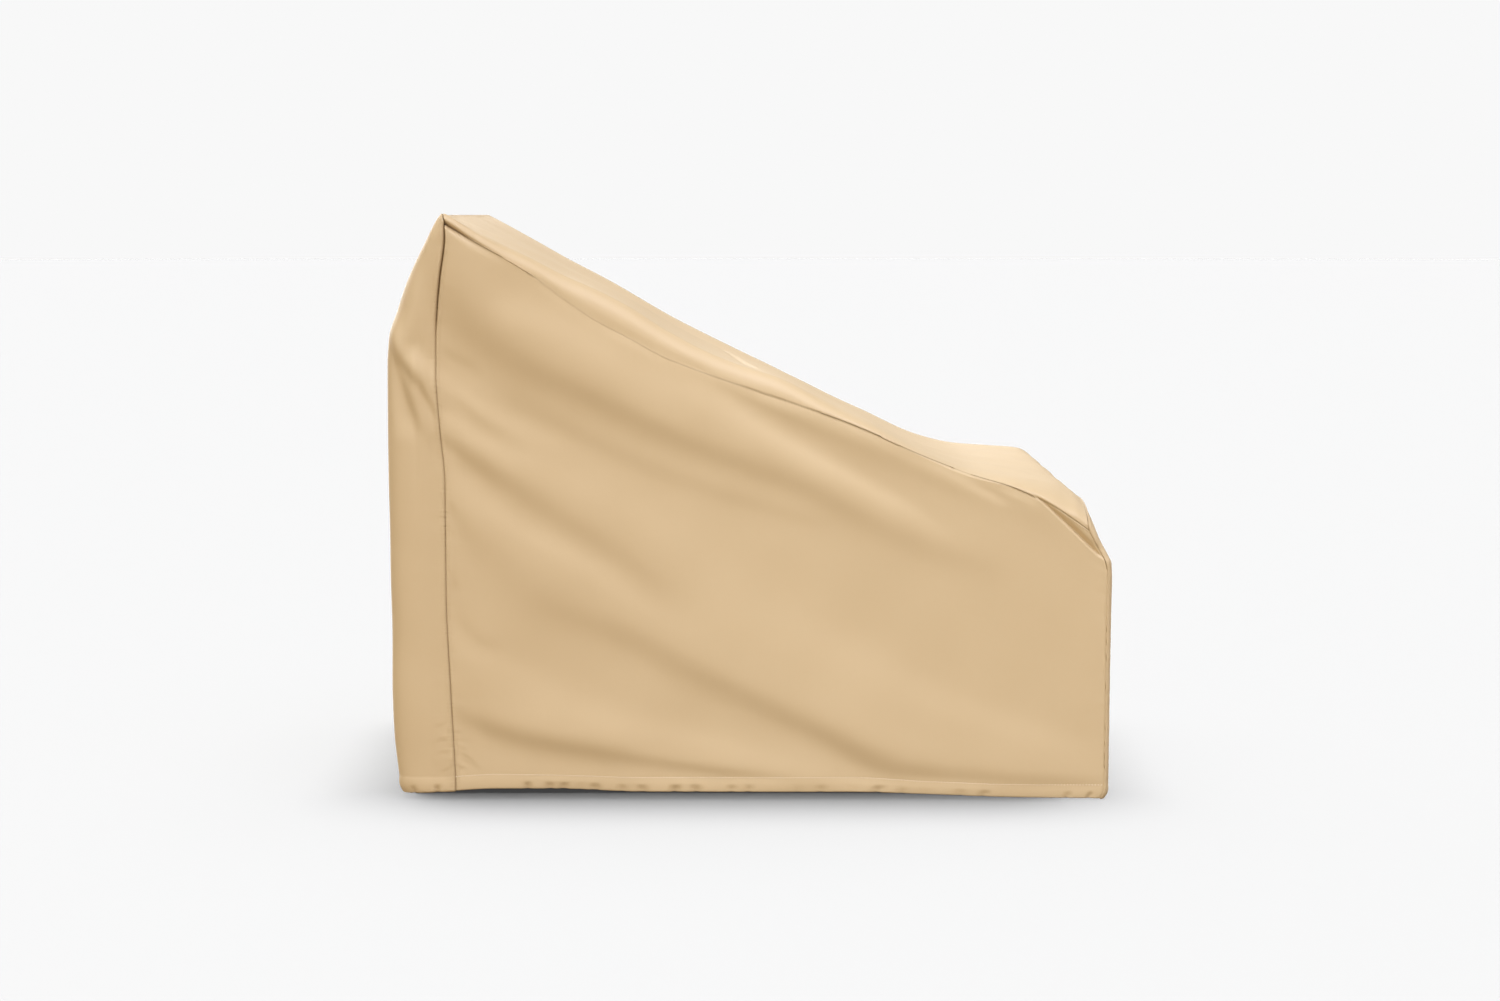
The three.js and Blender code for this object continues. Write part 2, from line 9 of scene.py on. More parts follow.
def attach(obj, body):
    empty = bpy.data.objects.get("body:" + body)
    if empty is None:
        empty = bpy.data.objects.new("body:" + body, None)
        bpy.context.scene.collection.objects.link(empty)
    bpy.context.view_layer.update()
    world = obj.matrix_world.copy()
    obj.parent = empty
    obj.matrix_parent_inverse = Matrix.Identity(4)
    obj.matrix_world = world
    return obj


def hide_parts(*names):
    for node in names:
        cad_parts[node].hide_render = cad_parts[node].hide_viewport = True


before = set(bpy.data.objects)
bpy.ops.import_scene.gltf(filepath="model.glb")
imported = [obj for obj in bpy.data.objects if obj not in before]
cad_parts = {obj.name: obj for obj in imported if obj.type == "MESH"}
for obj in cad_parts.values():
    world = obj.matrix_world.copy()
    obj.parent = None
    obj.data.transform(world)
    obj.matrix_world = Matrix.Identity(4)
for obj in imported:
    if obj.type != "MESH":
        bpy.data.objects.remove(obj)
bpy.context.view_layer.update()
print("frame loaded:", ", ".join(sorted(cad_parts)))

# Tables and shaping are in millimetres, and points turn to metres in a mesh.
# X runs from the back to the front, Y from the near side to the far side and Z up.
mm = 0.001


def table(columns, *rows):
    return dict(zip(columns.split(), np.array(rows, float).T))


def tables(columns, *groups):
    return [table(columns, *rows) for rows in groups]


cover = {
    "halfWidth": 425,
    "clothThickness": 1.2,
    "edgeInset": 0.15,  # half the hairline gap between two panels
    "hemTuck": 1.5,
    "hemPullBack": 5,
    "hemFold": 1.6,  # radius of the hem's turned edge
    "hemTurnUp": 18,  # how far the hem's cloth goes back up inside
    "foldFade": 14,
    "foldFacing": 1.25,  # how soon folds grow as the cloth turns to face the side
    "seamBlend": 9,
}

# Each rail is a seam on one side in side view, with the cover's corner beside it. The corner is
# round, and roll is how many times wider than high its round is.
railColumns = "seamX seamZ edgeX edgeZ radius roll"
rearNear = table(
    railColumns,
    (-402, 764, -403, 775, 12, 1),
    (-401, 746, -421, 748, 12, 1),
    (-408, 689, -450, 689, 22, 1),
    (-412, 649, -464, 649, 28, 1),
    (-414, 612, -476, 612, 32, 0.85),
    (-414, 575, -478, 575, 36, 0.7),
    (-409, 491, -478, 491, 42, 0.55),
    (-403, 425, -477, 425, 44, 0.5),
    (-402, 266, -475, 266, 44, 0.5),
    (-397, 150, -474, 150, 44, 0.5),
    (-394, 90, -472.5, 90, 43, 0.5),
    (-391, 31, -466, 30, 40, 0.5),
)
rearFar = table(
    railColumns,
    (-403, 763, -404, 775, 12, 1),
    (-404, 744, -422, 746, 12, 1),
    (-410, 690, -449, 690, 22, 1),
    (-411, 650, -462, 650, 28, 1),
    (-409, 612, -474, 612, 32, 0.85),
    (-407, 560, -475, 560, 36, 0.7),
    (-404, 430, -474, 430, 44, 0.5),
    (-398, 220, -474, 220, 44, 0.5),
    (-394, 30, -470, 30, 42, 0.5),
)
topNear = table(
    railColumns,
    (-402, 764, -403, 775, 12, 1.5),
    (-366, 742, -368, 758, 16, 1.6),
    (-296, 702, -294, 720, 19, 1.1),
    (-250, 668, -247, 696, 27, 0.8),
    (-205, 637, -202, 676, 36, 0.7),
    (-160, 613, -158, 653, 38, 0.7),
    (-109, 586, -108, 621, 34, 0.75),
    (-60, 567, -59, 595, 28, 0.8),
    (-14, 551, -14, 577, 26, 0.85),
    (40, 533, 41, 559, 26, 0.9),
    (78, 520, 77, 542, 22, 1.2),
    (120, 505, 119, 520, 15, 2.2),
    (157, 490, 156, 502, 12, 3.2),
    (223, 460, 222, 466, 8, 7),
    (289, 434, 289, 439, 9, 7),
    (348, 416, 349, 427, 12, 5),
    (375, 404, 382, 421, 18, 5),
    (401, 391, 412, 414, 25, 4.6),
    (428, 373, 427, 408, 31, 4.2),
    (448, 359, 446, 393, 30, 4),
)
topFar = table(
    railColumns,
    (-403, 763, -404, 775, 12, 1.5),
    (-364, 738, -364, 755, 14, 2.8),
    (-248, 668, -248, 690, 18, 4.8),
    (-110, 589, -109, 612, 19, 5.4),
    (30, 531, 30, 545, 14, 7),
    (169, 471, 169, 478, 10, 7.6),
    (262, 431, 262, 437, 9, 7.2),
    (308, 419, 308, 427, 11, 6.8),
    (357, 404, 362, 423, 14, 6),
    (398, 386, 408, 419, 16, 5),
    (421, 372, 427, 409, 16, 4.4),
    (440, 357, 440, 386, 15, 3.4),
)
frontNear = table(
    railColumns,
    (448, 359, 446, 393, 30, 4),
    (457, 342, 459, 353, 12, 1.6),
    (467, 325, 474, 323, 11, 1),
    (470, 317, 477, 316, 10, 1),
    (473, 300, 478, 300, 10, 1),
    (472, 240, 477, 240, 10, 1),
    (471, 100, 476, 100, 10, 1),
    (470, 20, 475, 20, 10, 1),
)
frontFar = table(
    railColumns,
    (440, 357, 440, 386, 15, 3.4),
    (450, 338, 452, 354, 13, 1.6),
    (462, 315, 469, 318, 11, 1),
    (467, 292, 472, 292, 10, 1),
    (470, 150, 475, 150, 10, 1),
    (470, 20, 474, 20, 10, 1),
)
lowerEdge = table(
    "x edge hem",
    (-476, 9, 28),
    (-400, 12, 31),
    (-340, 15, 34),
    (-260, 15, 33),
    (-140, 11, 30),
    (130, 10.5, 30),
    (230, 8, 25),
    (340, 4, 21),
    (476, 2, 20),
)


# Value at a place between a table's rows, smooth and with no overshoot
def between(keys, values, at):
    slopes = np.diff(values) / np.diff(keys)
    before, after = slopes[:-1], slopes[1:]
    same = before * after > 0
    bend = np.where(same, 2 * before * after / np.where(same, before + after, 1), 0)
    tangents = np.concatenate([slopes[:1], bend, slopes[-1:]])
    at = np.clip(at, keys[0], keys[-1])
    i = np.clip(np.searchsorted(keys, at, side="right") - 1, 0, len(keys) - 2)
    span = keys[i + 1] - keys[i]
    t = (at - keys[i]) / span
    rise = smoothStep(t)
    bow = span * t * (1 - t) * ((1 - t) * tangents[i] - t * tangents[i + 1])
    return values[i] * (1 - rise) + values[i + 1] * rise + bow


def smoothStep(t):
    t = np.clip(t, 0, 1)
    return t * t * (3 - 2 * t)


def bump(offset, width):
    return np.exp(-((offset / width) ** 2))


def distance(points, line):
    return np.linalg.norm(points - line, axis=-1)


def runningSum(steps):
    return np.concatenate([[0], np.cumsum(steps)])


def unit(vectors):
    return vectors / np.maximum(np.linalg.norm(vectors, axis=-1, keepdims=True), 1e-9)


# A rail's rows at shares of the way along it, measured on the seam and the corner's edge together
def railAt(rows, share):
    lines = (("seamX", "seamZ"), ("edgeX", "edgeZ"))
    steps = sum(np.hypot(np.diff(rows[x]), np.diff(rows[z])) for x, z in lines)
    length = runningSum(steps)
    return {column: between(length, values, share * length[-1]) for column, values in rows.items()}


# Shares of a panel for its grid lines, finer where the table rises slowly
def spread(cells, pace):
    return between(pace["at"], pace["share"], np.linspace(0, 1, cells + 1))


# The cover's corner from the side seam to the end of its round, at turns from 0 to 1
def cornerGrid(at, side, halfWidth, turns):
    way = np.stack([at["edgeX"] - at["seamX"], at["edgeZ"] - at["seamZ"]], -1)
    reach = np.linalg.norm(way, axis=-1)
    halfWidth = np.broadcast_to(halfWidth, reach.shape)[:, None]
    way = way / reach[:, None]
    radius = at["radius"][:, None]
    straight = np.maximum(reach - at["radius"], 0)[:, None]
    startAngle = np.arcsin(np.clip(1 - reach / at["radius"], 0, 1))[:, None]
    gone = (straight + radius * (math.pi / 2 - startAngle)) * turns
    onRound = gone >= straight
    angle = np.where(onRound, startAngle + np.maximum(gone - straight, 0) / radius, 0)
    along = np.where(onRound, reach[:, None] - radius * (1 - np.sin(angle)), gone)
    roll = at["roll"][:, None]
    inset = np.where(onRound, roll * radius * (1 - np.cos(angle)), 0)
    points = np.stack(
        [
            at["seamX"][:, None] + way[:, :1] * along,
            side * (halfWidth - inset),
            at["seamZ"][:, None] + way[:, 1:] * along,
        ],
        -1,
    )
    rise = roll * np.sin(angle)
    normals = np.stack([way[:, :1] * rise, side * np.cos(angle), way[:, 1:] * rise], -1)
    return points, unit(normals), reach


# Sections across the cover, from the near seam round both corners to the far seam
def crossGrid(near, far, halfWidth):
    turns = [np.linspace(0, 1, cells[corner] + 1) ** cornerPace for corner in ("nearCorner", "farCorner")]
    nearPoints, nearNormals, _ = cornerGrid(near, -1, halfWidth, turns[0])
    farPoints, farNormals, _ = cornerGrid(far, 1, halfWidth, turns[1][::-1])
    share = np.linspace(0, 1, cells["across"] + 1)[1:-1, None]
    middlePoints = nearPoints[:, -1:] * (1 - share) + farPoints[:, :1] * share
    middleNormals = unit(nearNormals[:, -1:] * (1 - share) + farNormals[:, :1] * share)
    points = np.concatenate([nearPoints, middlePoints, farPoints], 1)
    normals = np.concatenate([nearNormals, middleNormals, farNormals], 1)
    flat = points[..., 1].copy()
    nearWrap = (nearPoints[:, -1:], slice(None, cells["nearCorner"]))
    farWrap = (farPoints[:, :1], slice(-cells["farCorner"], None))
    for corner, place in (nearWrap, farWrap):
        flat[:, place] = corner[..., 1] + np.sign(corner[..., 1]) * distance(points[:, place], corner)
    return points, normals, flat


# How a wall's corner changes down its hem: lowered to the edge, drawn in at the back or front
def hemCorner(at, hem, direction):
    pull = direction * cover["hemPullBack"] * hem**3
    atCorner = 1 - smoothStep(np.abs(at["edgeX"] - at["seamX"]) / at["radius"] / 2)

    def lowered(x, z):
        edge = between(lowerEdge["x"], lowerEdge["edge"], x) + cover["hemFold"]
        return z * (1 - hem) + edge * hem

    return at | {
        "seamX": at["seamX"] - pull * atCorner,
        "seamZ": lowered(at["seamX"], at["seamZ"]),
        "edgeX": at["edgeX"] - pull,
        "edgeZ": lowered(at["edgeX"], at["edgeZ"]),
    }


# How far folds move points outwards. A fold runs along key, and its flanks lie across it.
def foldRelief(folds, key, across, flanks, place):
    relief = np.zeros_like(place[key])
    for fold in folds:
        on = (place[key] >= fold[key][0]) & (place[key] <= fold[key][-1])
        at = place[key][on]
        off = place[across][on] - between(fold[key], fold[across], at)
        low, high = (between(fold[key], fold[flank], at) for flank in flanks)
        relief[on] += between(fold[key], fold["out"], at) * bump(off, np.where(off > 0, high, low))
    return relief


slopeReach = 4  # how many times its own width a slope takes to come back to the cloth's level
slopeWidth = 1.2
slopeLean = 0.0093


# Slopes along lines of a side. A lean of 100 faces 35 degrees up, and one below 0 faces down.
def slopeRelief(slopes, x, z):
    relief = np.zeros_like(x)
    for slope in slopes:
        on = (x > slope["x"][0]) & (x < slope["x"][-1])
        at = x[on]
        z0, z1 = (between(slope["x"], slope["z"], at + step) for step in (-0.5, 0.5))
        off = (z[on] - (z0 + z1) / 2) / np.hypot(1, z1 - z0)
        above, below = (between(slope["x"], slope[flank], at) for flank in ("above", "below"))
        width = np.where(off > 0, above, below) * slopeWidth
        lean = between(slope["x"], slope["lean"], at) * slopeLean
        relief[on] -= lean * width * (np.tanh(off / width) - np.tanh(off / width / slopeReach))
    return relief


slopeColumns = "x z lean above below"
nearSlopes = tables(
    slopeColumns,
    (
        (-350, 660, 0, 20, 14), (-310, 648, 16, 22, 14), (-250, 628, 22, 26, 18), (-200, 603, 22, 22, 20),
        (-150, 574, 20, 22, 24), (-110, 556, 20, 20, 24), (-60, 540, 27, 16, 20), (-25, 520, 32, 13, 19),
        (25, 488, 36, 11, 15), (75, 460, 38, 11, 14), (125, 433, 36, 10, 13), (175, 406, 30, 9, 13),
        (215, 384, 20, 9, 11), (250, 362, 8, 8, 10), (280, 350, 0, 8, 10),
    ),
    (
        (-75, 562, 0, 3, 5), (-40, 549, -5, 3, 5), (0, 531, -10, 4, 6), (50, 508, -14, 6, 8),
        (100, 486, -11, 7, 9), (150, 466, -10, 8, 11), (190, 449, -10, 8, 11), (225, 433, -8, 8, 10),
        (275, 411, -7, 7, 9), (325, 392, -6, 8, 10), (370, 376, -6, 8, 11), (400, 366, 0, 9, 12),
    ),
    (
        (-430, 670, 0, 34, 20), (-405, 652, -24, 36, 22), (-375, 624, -33, 32, 25),
        (-330, 594, -34, 23, 26), (-285, 567, -33, 20, 23), (-225, 541, -32, 17, 20),
        (-150, 504, -32, 15, 19), (-75, 471, -28, 14, 16), (0, 443, -23, 13, 14), (75, 414, -20, 12, 14),
        (130, 384, -16, 12, 16), (190, 356, -12, 10, 16), (240, 332, -11, 12, 16), (300, 315, -7, 14, 18),
        (350, 300, 0, 14, 18),
    ),
    ((-414, 605, 0, 4, 4), (-395, 593, -22, 4, 4), (-372, 580, -18, 5, 5), (-345, 563, 0, 6, 6)),
    (
        (-345, 548, 0, 12, 14), (-300, 524, -14, 13, 14), (-250, 499, -18, 13, 15),
        (-190, 466, -17, 13, 15), (-120, 437, -15, 12, 14), (-50, 412, -14, 10, 13), (0, 397, -12, 9, 12),
        (60, 378, -10, 8, 10), (110, 366, 0, 8, 10),
    ),
    (
        (-470, 612, 0, 9, 8), (-455, 601, 40, 9, 8), (-435, 583, 48, 10, 9), (-415, 566, 34, 10, 10),
        (-395, 550, 24, 10, 9), (-370, 532, 20, 9, 9), (-335, 510, 14, 10, 11), (-290, 491, 11, 12, 16),
        (-230, 470, 8, 12, 18), (-170, 440, 4, 12, 20), (-120, 415, 0, 12, 20),
    ),
    (
        (-412, 514, 4, 8, 9), (-392, 504, 18, 8, 9), (-360, 482, 18, 8, 11), (-320, 462, 14, 10, 16),
        (-260, 440, 10, 12, 22), (-180, 402, 8, 14, 26), (-100, 365, 5, 16, 30), (0, 310, 0, 20, 30),
    ),
    (
        (-400, 543, 0, 5, 6), (-378, 525, -20, 6, 6), (-350, 502, -18, 6, 7), (-320, 481, -10, 7, 7),
        (-295, 470, 0, 7, 8),
    ),
    (
        (-420, 490, 0, 5, 6), (-395, 474, -30, 7, 8), (-375, 458, -38, 9, 10), (-350, 441, -38, 11, 12),
        (-320, 422, -28, 12, 14), (-275, 391, -20, 13, 15), (-225, 360, -18, 14, 15),
        (-175, 328, -13, 13, 14), (-135, 300, -7, 12, 13), (-95, 280, 0, 12, 13),
    ),
    (
        (-405, 450, 0, 10, 12), (-385, 424, 12, 12, 14), (-340, 385, 14, 14, 16), (-275, 345, 15, 15, 14),
        (-200, 306, 16, 15, 15), (-140, 262, 11, 15, 16), (-90, 238, 4, 14, 16), (-50, 222, 0, 14, 16),
    ),
    (
        (-170, 385, 0, 20, 30), (-110, 345, 6, 22, 32), (-70, 312, 7, 24, 36), (-10, 266, 8, 28, 40),
        (50, 238, 9, 28, 36), (110, 207, 10, 26, 32), (170, 177, 11, 24, 30), (230, 146, 11, 22, 28),
        (290, 119, 10, 20, 24), (350, 97, 10, 18, 22), (410, 78, 8, 15, 18), (465, 62, 0, 12, 14),
    ),
    (
        (-405, 395, 0, 6, 8), (-375, 360, -16, 12, 14), (-350, 335, -13, 18, 22),
        (-310, 290, -13, 22, 26), (-260, 255, -15, 20, 22), (-200, 231, -19, 17, 18),
        (-150, 210, -21, 15, 17), (-100, 182, -23, 16, 18), (-50, 157, -26, 15, 18),
        (0, 133, -28, 14, 17), (50, 108, -32, 15, 15), (100, 84, -40, 16, 13), (140, 62, -44, 16, 12),
        (175, 46, -42, 17, 11), (205, 38, -30, 16, 8), (240, 34, -14, 16, 6), (270, 30, 0, 10, 5),
    ),
    ((-392, 250, 0, 5, 7), (-376, 234, -10, 6, 8), (-350, 211, -10, 6, 7), (-325, 205, 0, 6, 7)),
    (
        (-402, 235, 0, 8, 8), (-388, 212, 12, 10, 12), (-355, 190, 10, 12, 20), (-300, 165, 9, 16, 26),
        (-230, 125, 10, 18, 20), (-150, 98, 11, 18, 16), (-60, 78, 12, 16, 14), (20, 58, 7, 12, 12),
        (80, 44, 4, 9, 10), (120, 35, 0, 8, 8),
    ),
    ((-401, 301, 0, 5, 5), (-390, 291, -14, 6, 6), (-378, 283, 0, 5, 5)),
    ((-402, 401, 0, 3, 3), (-393, 392, -20, 4, 4), (-382, 384, 0, 4, 5)),
    (
        (-402, 122, 0, 6, 6), (-385, 114, -14, 8, 9), (-365, 104, -22, 10, 10), (-345, 95, -34, 12, 12),
        (-310, 84, -38, 12, 13), (-260, 73, -40, 12, 13), (-200, 63, -40, 12, 12), (-165, 57, -32, 10, 9),
        (-130, 51, -25, 7, 8), (-80, 44, -28, 6, 7), (-30, 37, -30, 6, 6), (20, 33, -16, 6, 4),
        (60, 31, 0, 4, 4),
    ),
    (
        (180, 474, 0, 3, 4), (220, 455, 8, 4, 5), (270, 431, 22, 5, 7), (300, 415, 22, 5, 7),
        (325, 401, 16, 5, 6), (345, 391, 0, 4, 5),
    ),
    ((325, 414, 0, 3, 4), (350, 406, 18, 4, 4), (370, 398, 14, 4, 4), (385, 390, 0, 3, 3)),
    ((285, 424, 0, 2.5, 2.5), (315, 414, -12, 2.5, 3), (350, 398, -8, 3, 3), (372, 390, 0, 3, 3)),
    (
        (-300, 712, 0, 6, 5), (-250, 676, -10, 8, 6), (-205, 652, -12, 9, 8), (-160, 628, -12, 9, 8),
        (-110, 600, -10, 8, 6), (-70, 580, -6, 6, 4), (-40, 566, 0, 5, 4),
    ),
    (
        (-290, 697, 0, 3, 8), (-250, 667, 4, 3, 7), (-205, 636, 10, 4, 8), (-160, 612, 18, 4, 9),
        (-120, 591, 18, 4, 10), (-80, 575, 16, 2, 10), (-50, 563, 14, 2, 8), (-14, 548, 14, 2.5, 7),
        (40, 530, 20, 2.5, 7), (78, 517, 22, 2.5, 7), (120, 502, 24, 2.5, 8), (157, 487, 22, 2.5, 8),
        (223, 457, 18, 2.5, 7), (289, 431, 12, 2.5, 5), (330, 418, 0, 2.5, 5),
    ),
    (
        (-476, 612, 0, 4, 4), (-462, 588, -60, 3, 4), (-448, 571, -84, 3, 4), (-432, 550, -84, 4, 4),
        (-420, 528, -70, 3, 3), (-411, 508, -30, 3, 3), (-404, 494, 0, 3, 3),
    ),
    (
        (-478, 620, 0, 4, 4), (-470, 598, -60, 4, 4), (-460, 566, -70, 4, 5), (-450, 538, -76, 5, 5),
        (-441, 516, -76, 7, 6), (-434, 500, -36, 6, 5), (-428, 492, 0, 4, 4),
    ),
    (
        (-462, 574, 0, 3, 3), (-448, 556, 14, 4, 4), (-435, 533, 16, 4, 4), (-420, 513, 8, 4, 4),
        (-410, 500, 0, 3, 3),
    ),
    (
        (190, 40, 0, 6, 4), (240, 35, -20, 12, 5), (300, 30, -26, 12, 5), (360, 26, -24, 9, 5),
        (440, 24, -16, 7, 5), (476, 23, 0, 5, 4),
    ),
    ((-436, 498, 0, 6, 6), (-424, 484, -14, 8, 8), (-412, 472, -10, 7, 7), (-402, 462, 0, 6, 6)),
)
# Short wrinkles by the rear seam's stitches: x and z at start, middle and end, and lean
wrinkleWidth = 1.6
nearWrinkles = [
    (-393, 73, -385, 71, -374, 67, -40),
    (-391, 66, -378, 60, -352, 39, -34),
    (-392, 46, -384, 44, -374, 42, -44),
    (-394, 92, -388, 90, -380, 90, -36),
    (-389, 57, -376, 52, -350, 36, -26),
    (-420, 98, -410, 101, -399, 102, -34),
    (-418, 78, -408, 82, -397, 81, -36),
    (-416, 62, -406, 65, -396, 64, -30),
    (-412, 36, -402, 42, -392, 47, -34),
    (-424, 470, -414, 460, -406, 452, -15),
    (-420, 438, -412, 430, -405, 424, -15),
    (-404, 372, -396, 366, -386, 356, -14),
    (-403, 362, -395, 358, -388, 352, -14),
    (-416, 372, -409, 362, -403, 352, -14),
    (-402, 252, -396, 249, -390, 246, -16),
]
for x0, z0, x1, z1, x2, z2, lean in nearWrinkles:
    places = ((x0, z0, 0), (x1, z1, lean), (x2, z2, 0))
    nearSlopes.append(table(slopeColumns, *((*place, wrinkleWidth, wrinkleWidth) for place in places)))
farSlopes = tables(
    slopeColumns,
    (
        (-360, 660, 0, 14, 14), (-280, 622, 20, 16, 18), (-190, 580, 24, 17, 20), (-90, 528, 22, 16, 20),
        (0, 486, 30, 14, 18), (80, 446, 34, 13, 16), (150, 412, 24, 12, 14), (220, 372, 0, 9, 10),
    ),
    (
        (-60, 560, 0, 6, 8), (20, 524, -20, 8, 11), (100, 480, -28, 12, 14), (180, 444, -28, 12, 14),
        (260, 414, -16, 10, 12), (340, 386, 0, 9, 11),
    ),
    (
        (-425, 660, 0, 20, 20), (-390, 630, -20, 22, 24), (-310, 584, -30, 22, 24),
        (-220, 530, -32, 18, 20), (-120, 474, -30, 15, 18), (-20, 436, -26, 13, 14),
        (80, 392, -22, 11, 12), (180, 348, -10, 12, 14), (280, 322, 0, 14, 16),
    ),
    (
        (-415, 560, 10, 8, 9), (-380, 530, 24, 10, 11), (-310, 486, 16, 12, 14), (-220, 440, 10, 14, 20),
        (-110, 390, 0, 14, 24),
    ),
    (
        (-415, 510, -10, 6, 7), (-380, 476, -32, 9, 10), (-330, 436, -32, 12, 13),
        (-260, 384, -22, 14, 15), (-180, 330, -18, 14, 15), (-100, 286, 0, 12, 13),
    ),
    (
        (-400, 420, 0, 12, 14), (-340, 372, 18, 14, 16), (-240, 318, 20, 15, 17), (-130, 250, 14, 16, 18),
        (0, 210, 8, 20, 22), (160, 168, 9, 24, 26), (330, 104, 10, 20, 22), (460, 60, 0, 14, 16),
    ),
    (
        (-402, 350, 0, 8, 10), (-350, 300, -14, 20, 24), (-250, 246, -18, 19, 21),
        (-140, 196, -24, 14, 16), (-40, 150, -28, 12, 14), (60, 102, -32, 11, 12), (130, 66, -32, 10, 10),
        (190, 36, 0, 8, 8),
    ),
    (
        (-402, 150, 0, 8, 8), (-360, 124, -22, 10, 10), (-280, 96, -34, 11, 11), (-190, 78, -32, 10, 10),
        (-100, 60, -20, 7, 8), (-10, 40, 0, 5, 5),
    ),
    ((-474, 590, 0, 6, 6), (-450, 552, -30, 7, 7), (-425, 520, -24, 6, 6), (-404, 492, 0, 4, 4)),
)
foldColumns = "x z out above below"
nearPinch = tables(
    foldColumns,
    (
        (366, 411, 0, 3, 30), (380, 401, 0.4, 3, 30), (408, 375, 0.6, 3, 30), (434, 350, 0.6, 3, 30),
        (460, 326, 0.4, 3, 30), (476, 316, 0, 4, 30),
    ),
    (
        (372, 409, 0, 2, 2), (384, 399, -3.4, 3, 0.8), (408, 377, -6, 5.5, 0.8),
        (434, 352, -6.8, 7.5, 0.8), (458, 329, -4.5, 7, 0.8), (474, 318, 0, 6, 2),
    ),
)
farPinch = tables(
    foldColumns,
    ((352, 408, 0, 10, 24), (380, 382, 5, 4, 30), (415, 348, 7, 4, 32), (468, 306, 0, 5, 20)),
    ((362, 404, 0, 3, 3), (390, 384, -6, 6, 6), (420, 356, -7, 8, 8), (464, 318, 0, 6, 6)),
)
sides = {-1: (nearSlopes, nearPinch), 1: (farSlopes, farPinch)}
hangColumns = "z y out near far"
backFolds = tables(
    hangColumns,
    ((480, -436, 0, 16, 14), (520, -432, -4, 14, 12), (575, -430, -5, 12, 12), (615, -440, 0, 10, 12)),
    ((0, -170, 11, 70, 60), (300, -220, 11, 60, 52), (480, -290, 7, 46, 40), (600, -370, 0, 30, 30)),
    ((0, -50, -10, 60, 64), (280, -110, -10, 56, 60), (470, -200, -5, 50, 50), (590, -280, 0, 40, 40)),
    ((0, 110, 12, 70, 76), (260, 160, 11, 60, 70), (450, 250, 7, 50, 50), (590, 350, 0, 36, 36)),
    ((0, 265, -8, 50, 50), (260, 300, -8, 46, 46), (430, 350, 0, 36, 36)),
)
frontFolds = tables(
    hangColumns,
    ((0, -225, 7, 60, 50), (180, -270, 7, 50, 46), (320, -350, 0, 34, 30)),
    ((0, -55, -7, 60, 60), (180, -110, -6, 56, 56), (300, -190, 0, 40, 40)),
    ((0, 145, 8, 60, 70), (190, 210, 7, 54, 60), (320, 320, 0, 36, 36)),
)
topColumns = "x y out near far"
topFolds = tables(
    topColumns,
    (
        (-390, -330, 0, 30, 40), (-280, -240, 5, 50, 60), (-120, -150, 6, 60, 60), (60, -90, 3, 60, 60),
        (200, -60, 0, 60, 60),
    ),
    (
        (-390, 120, 0, 60, 60), (-240, 130, -6, 80, 70), (-60, 100, -9, 90, 90), (120, 60, -8, 100, 100),
        (280, 20, 0, 90, 90),
    ),
    ((-360, 360, 0, 40, 30), (-220, 280, 5, 60, 46), (-40, 230, 6, 60, 60), (150, 210, 0, 60, 60)),
    ((250, -200, 0, 60, 60), (330, -230, 2, 60, 60), (400, -280, 0, 40, 40)),
    (
        (-110, 60, 0, 20, 20), (-60, -40, -2.5, 22, 18), (-20, -160, -3.5, 26, 20),
        (15, -280, -2.5, 24, 18), (40, -370, 0, 20, 20),
    ),
)

# Pace of the grid lines: seams and the hem's stitching get fine cells
wallPace = table("at share", (0, 0), (0.07, 0.013), (0.45, 0.47), (0.84, 0.9), (1, 1))
sidePace = table(
    "at share", (0, 0), (0.06, 0.012), (0.2, 0.08), (0.5, 0.44), (0.82, 0.88), (0.95, 0.99), (1, 1)
)
slopePace = table("at share", (0, 0), (0.05, 0.01), (0.5, 0.48), (0.95, 0.99), (1, 1))
cells = {
    "nearCorner": 36, "across": 96, "farCorner": 30,
    "side": 200, "slope": 210, "wall": 176,
    "hem": 16, "hemFold": 6, "hemTurnUp": 3,
}
cornerPace = 1.5  # above 1, the cells round a corner are finer beside the seam

wallShare = np.concatenate([spread(cells["wall"], wallPace), np.ones(cells["hem"])])
hemShare = np.concatenate([np.zeros(cells["wall"] + 1), np.linspace(0, 1, cells["hem"] + 1)[1:]])
wallHalfWidth = cover["halfWidth"] - cover["hemTuck"] * hemShare**2
slopeShare = spread(cells["slope"], slopePace)
onSeam = np.zeros(1)  # the turn at which a corner starts


def wallRails(near, far, direction):
    rails = {-1: railAt(near, wallShare), 1: railAt(far, wallShare)}
    return {side: hemCorner(at, hemShare, direction) for side, at in rails.items()}


rearRails = wallRails(rearNear, rearFar, -1)
frontRails = wallRails(frontNear, frontFar, 1)
topRails = {-1: topNear, 1: topFar}


# Normals of a grid of points, on the side that the guide faces
def gridNormals(points, guide):
    normals = unit(np.cross(np.gradient(points, axis=0), np.gradient(points, axis=1)))
    return normals * (1 if np.sum(normals * guide) > 0 else -1)


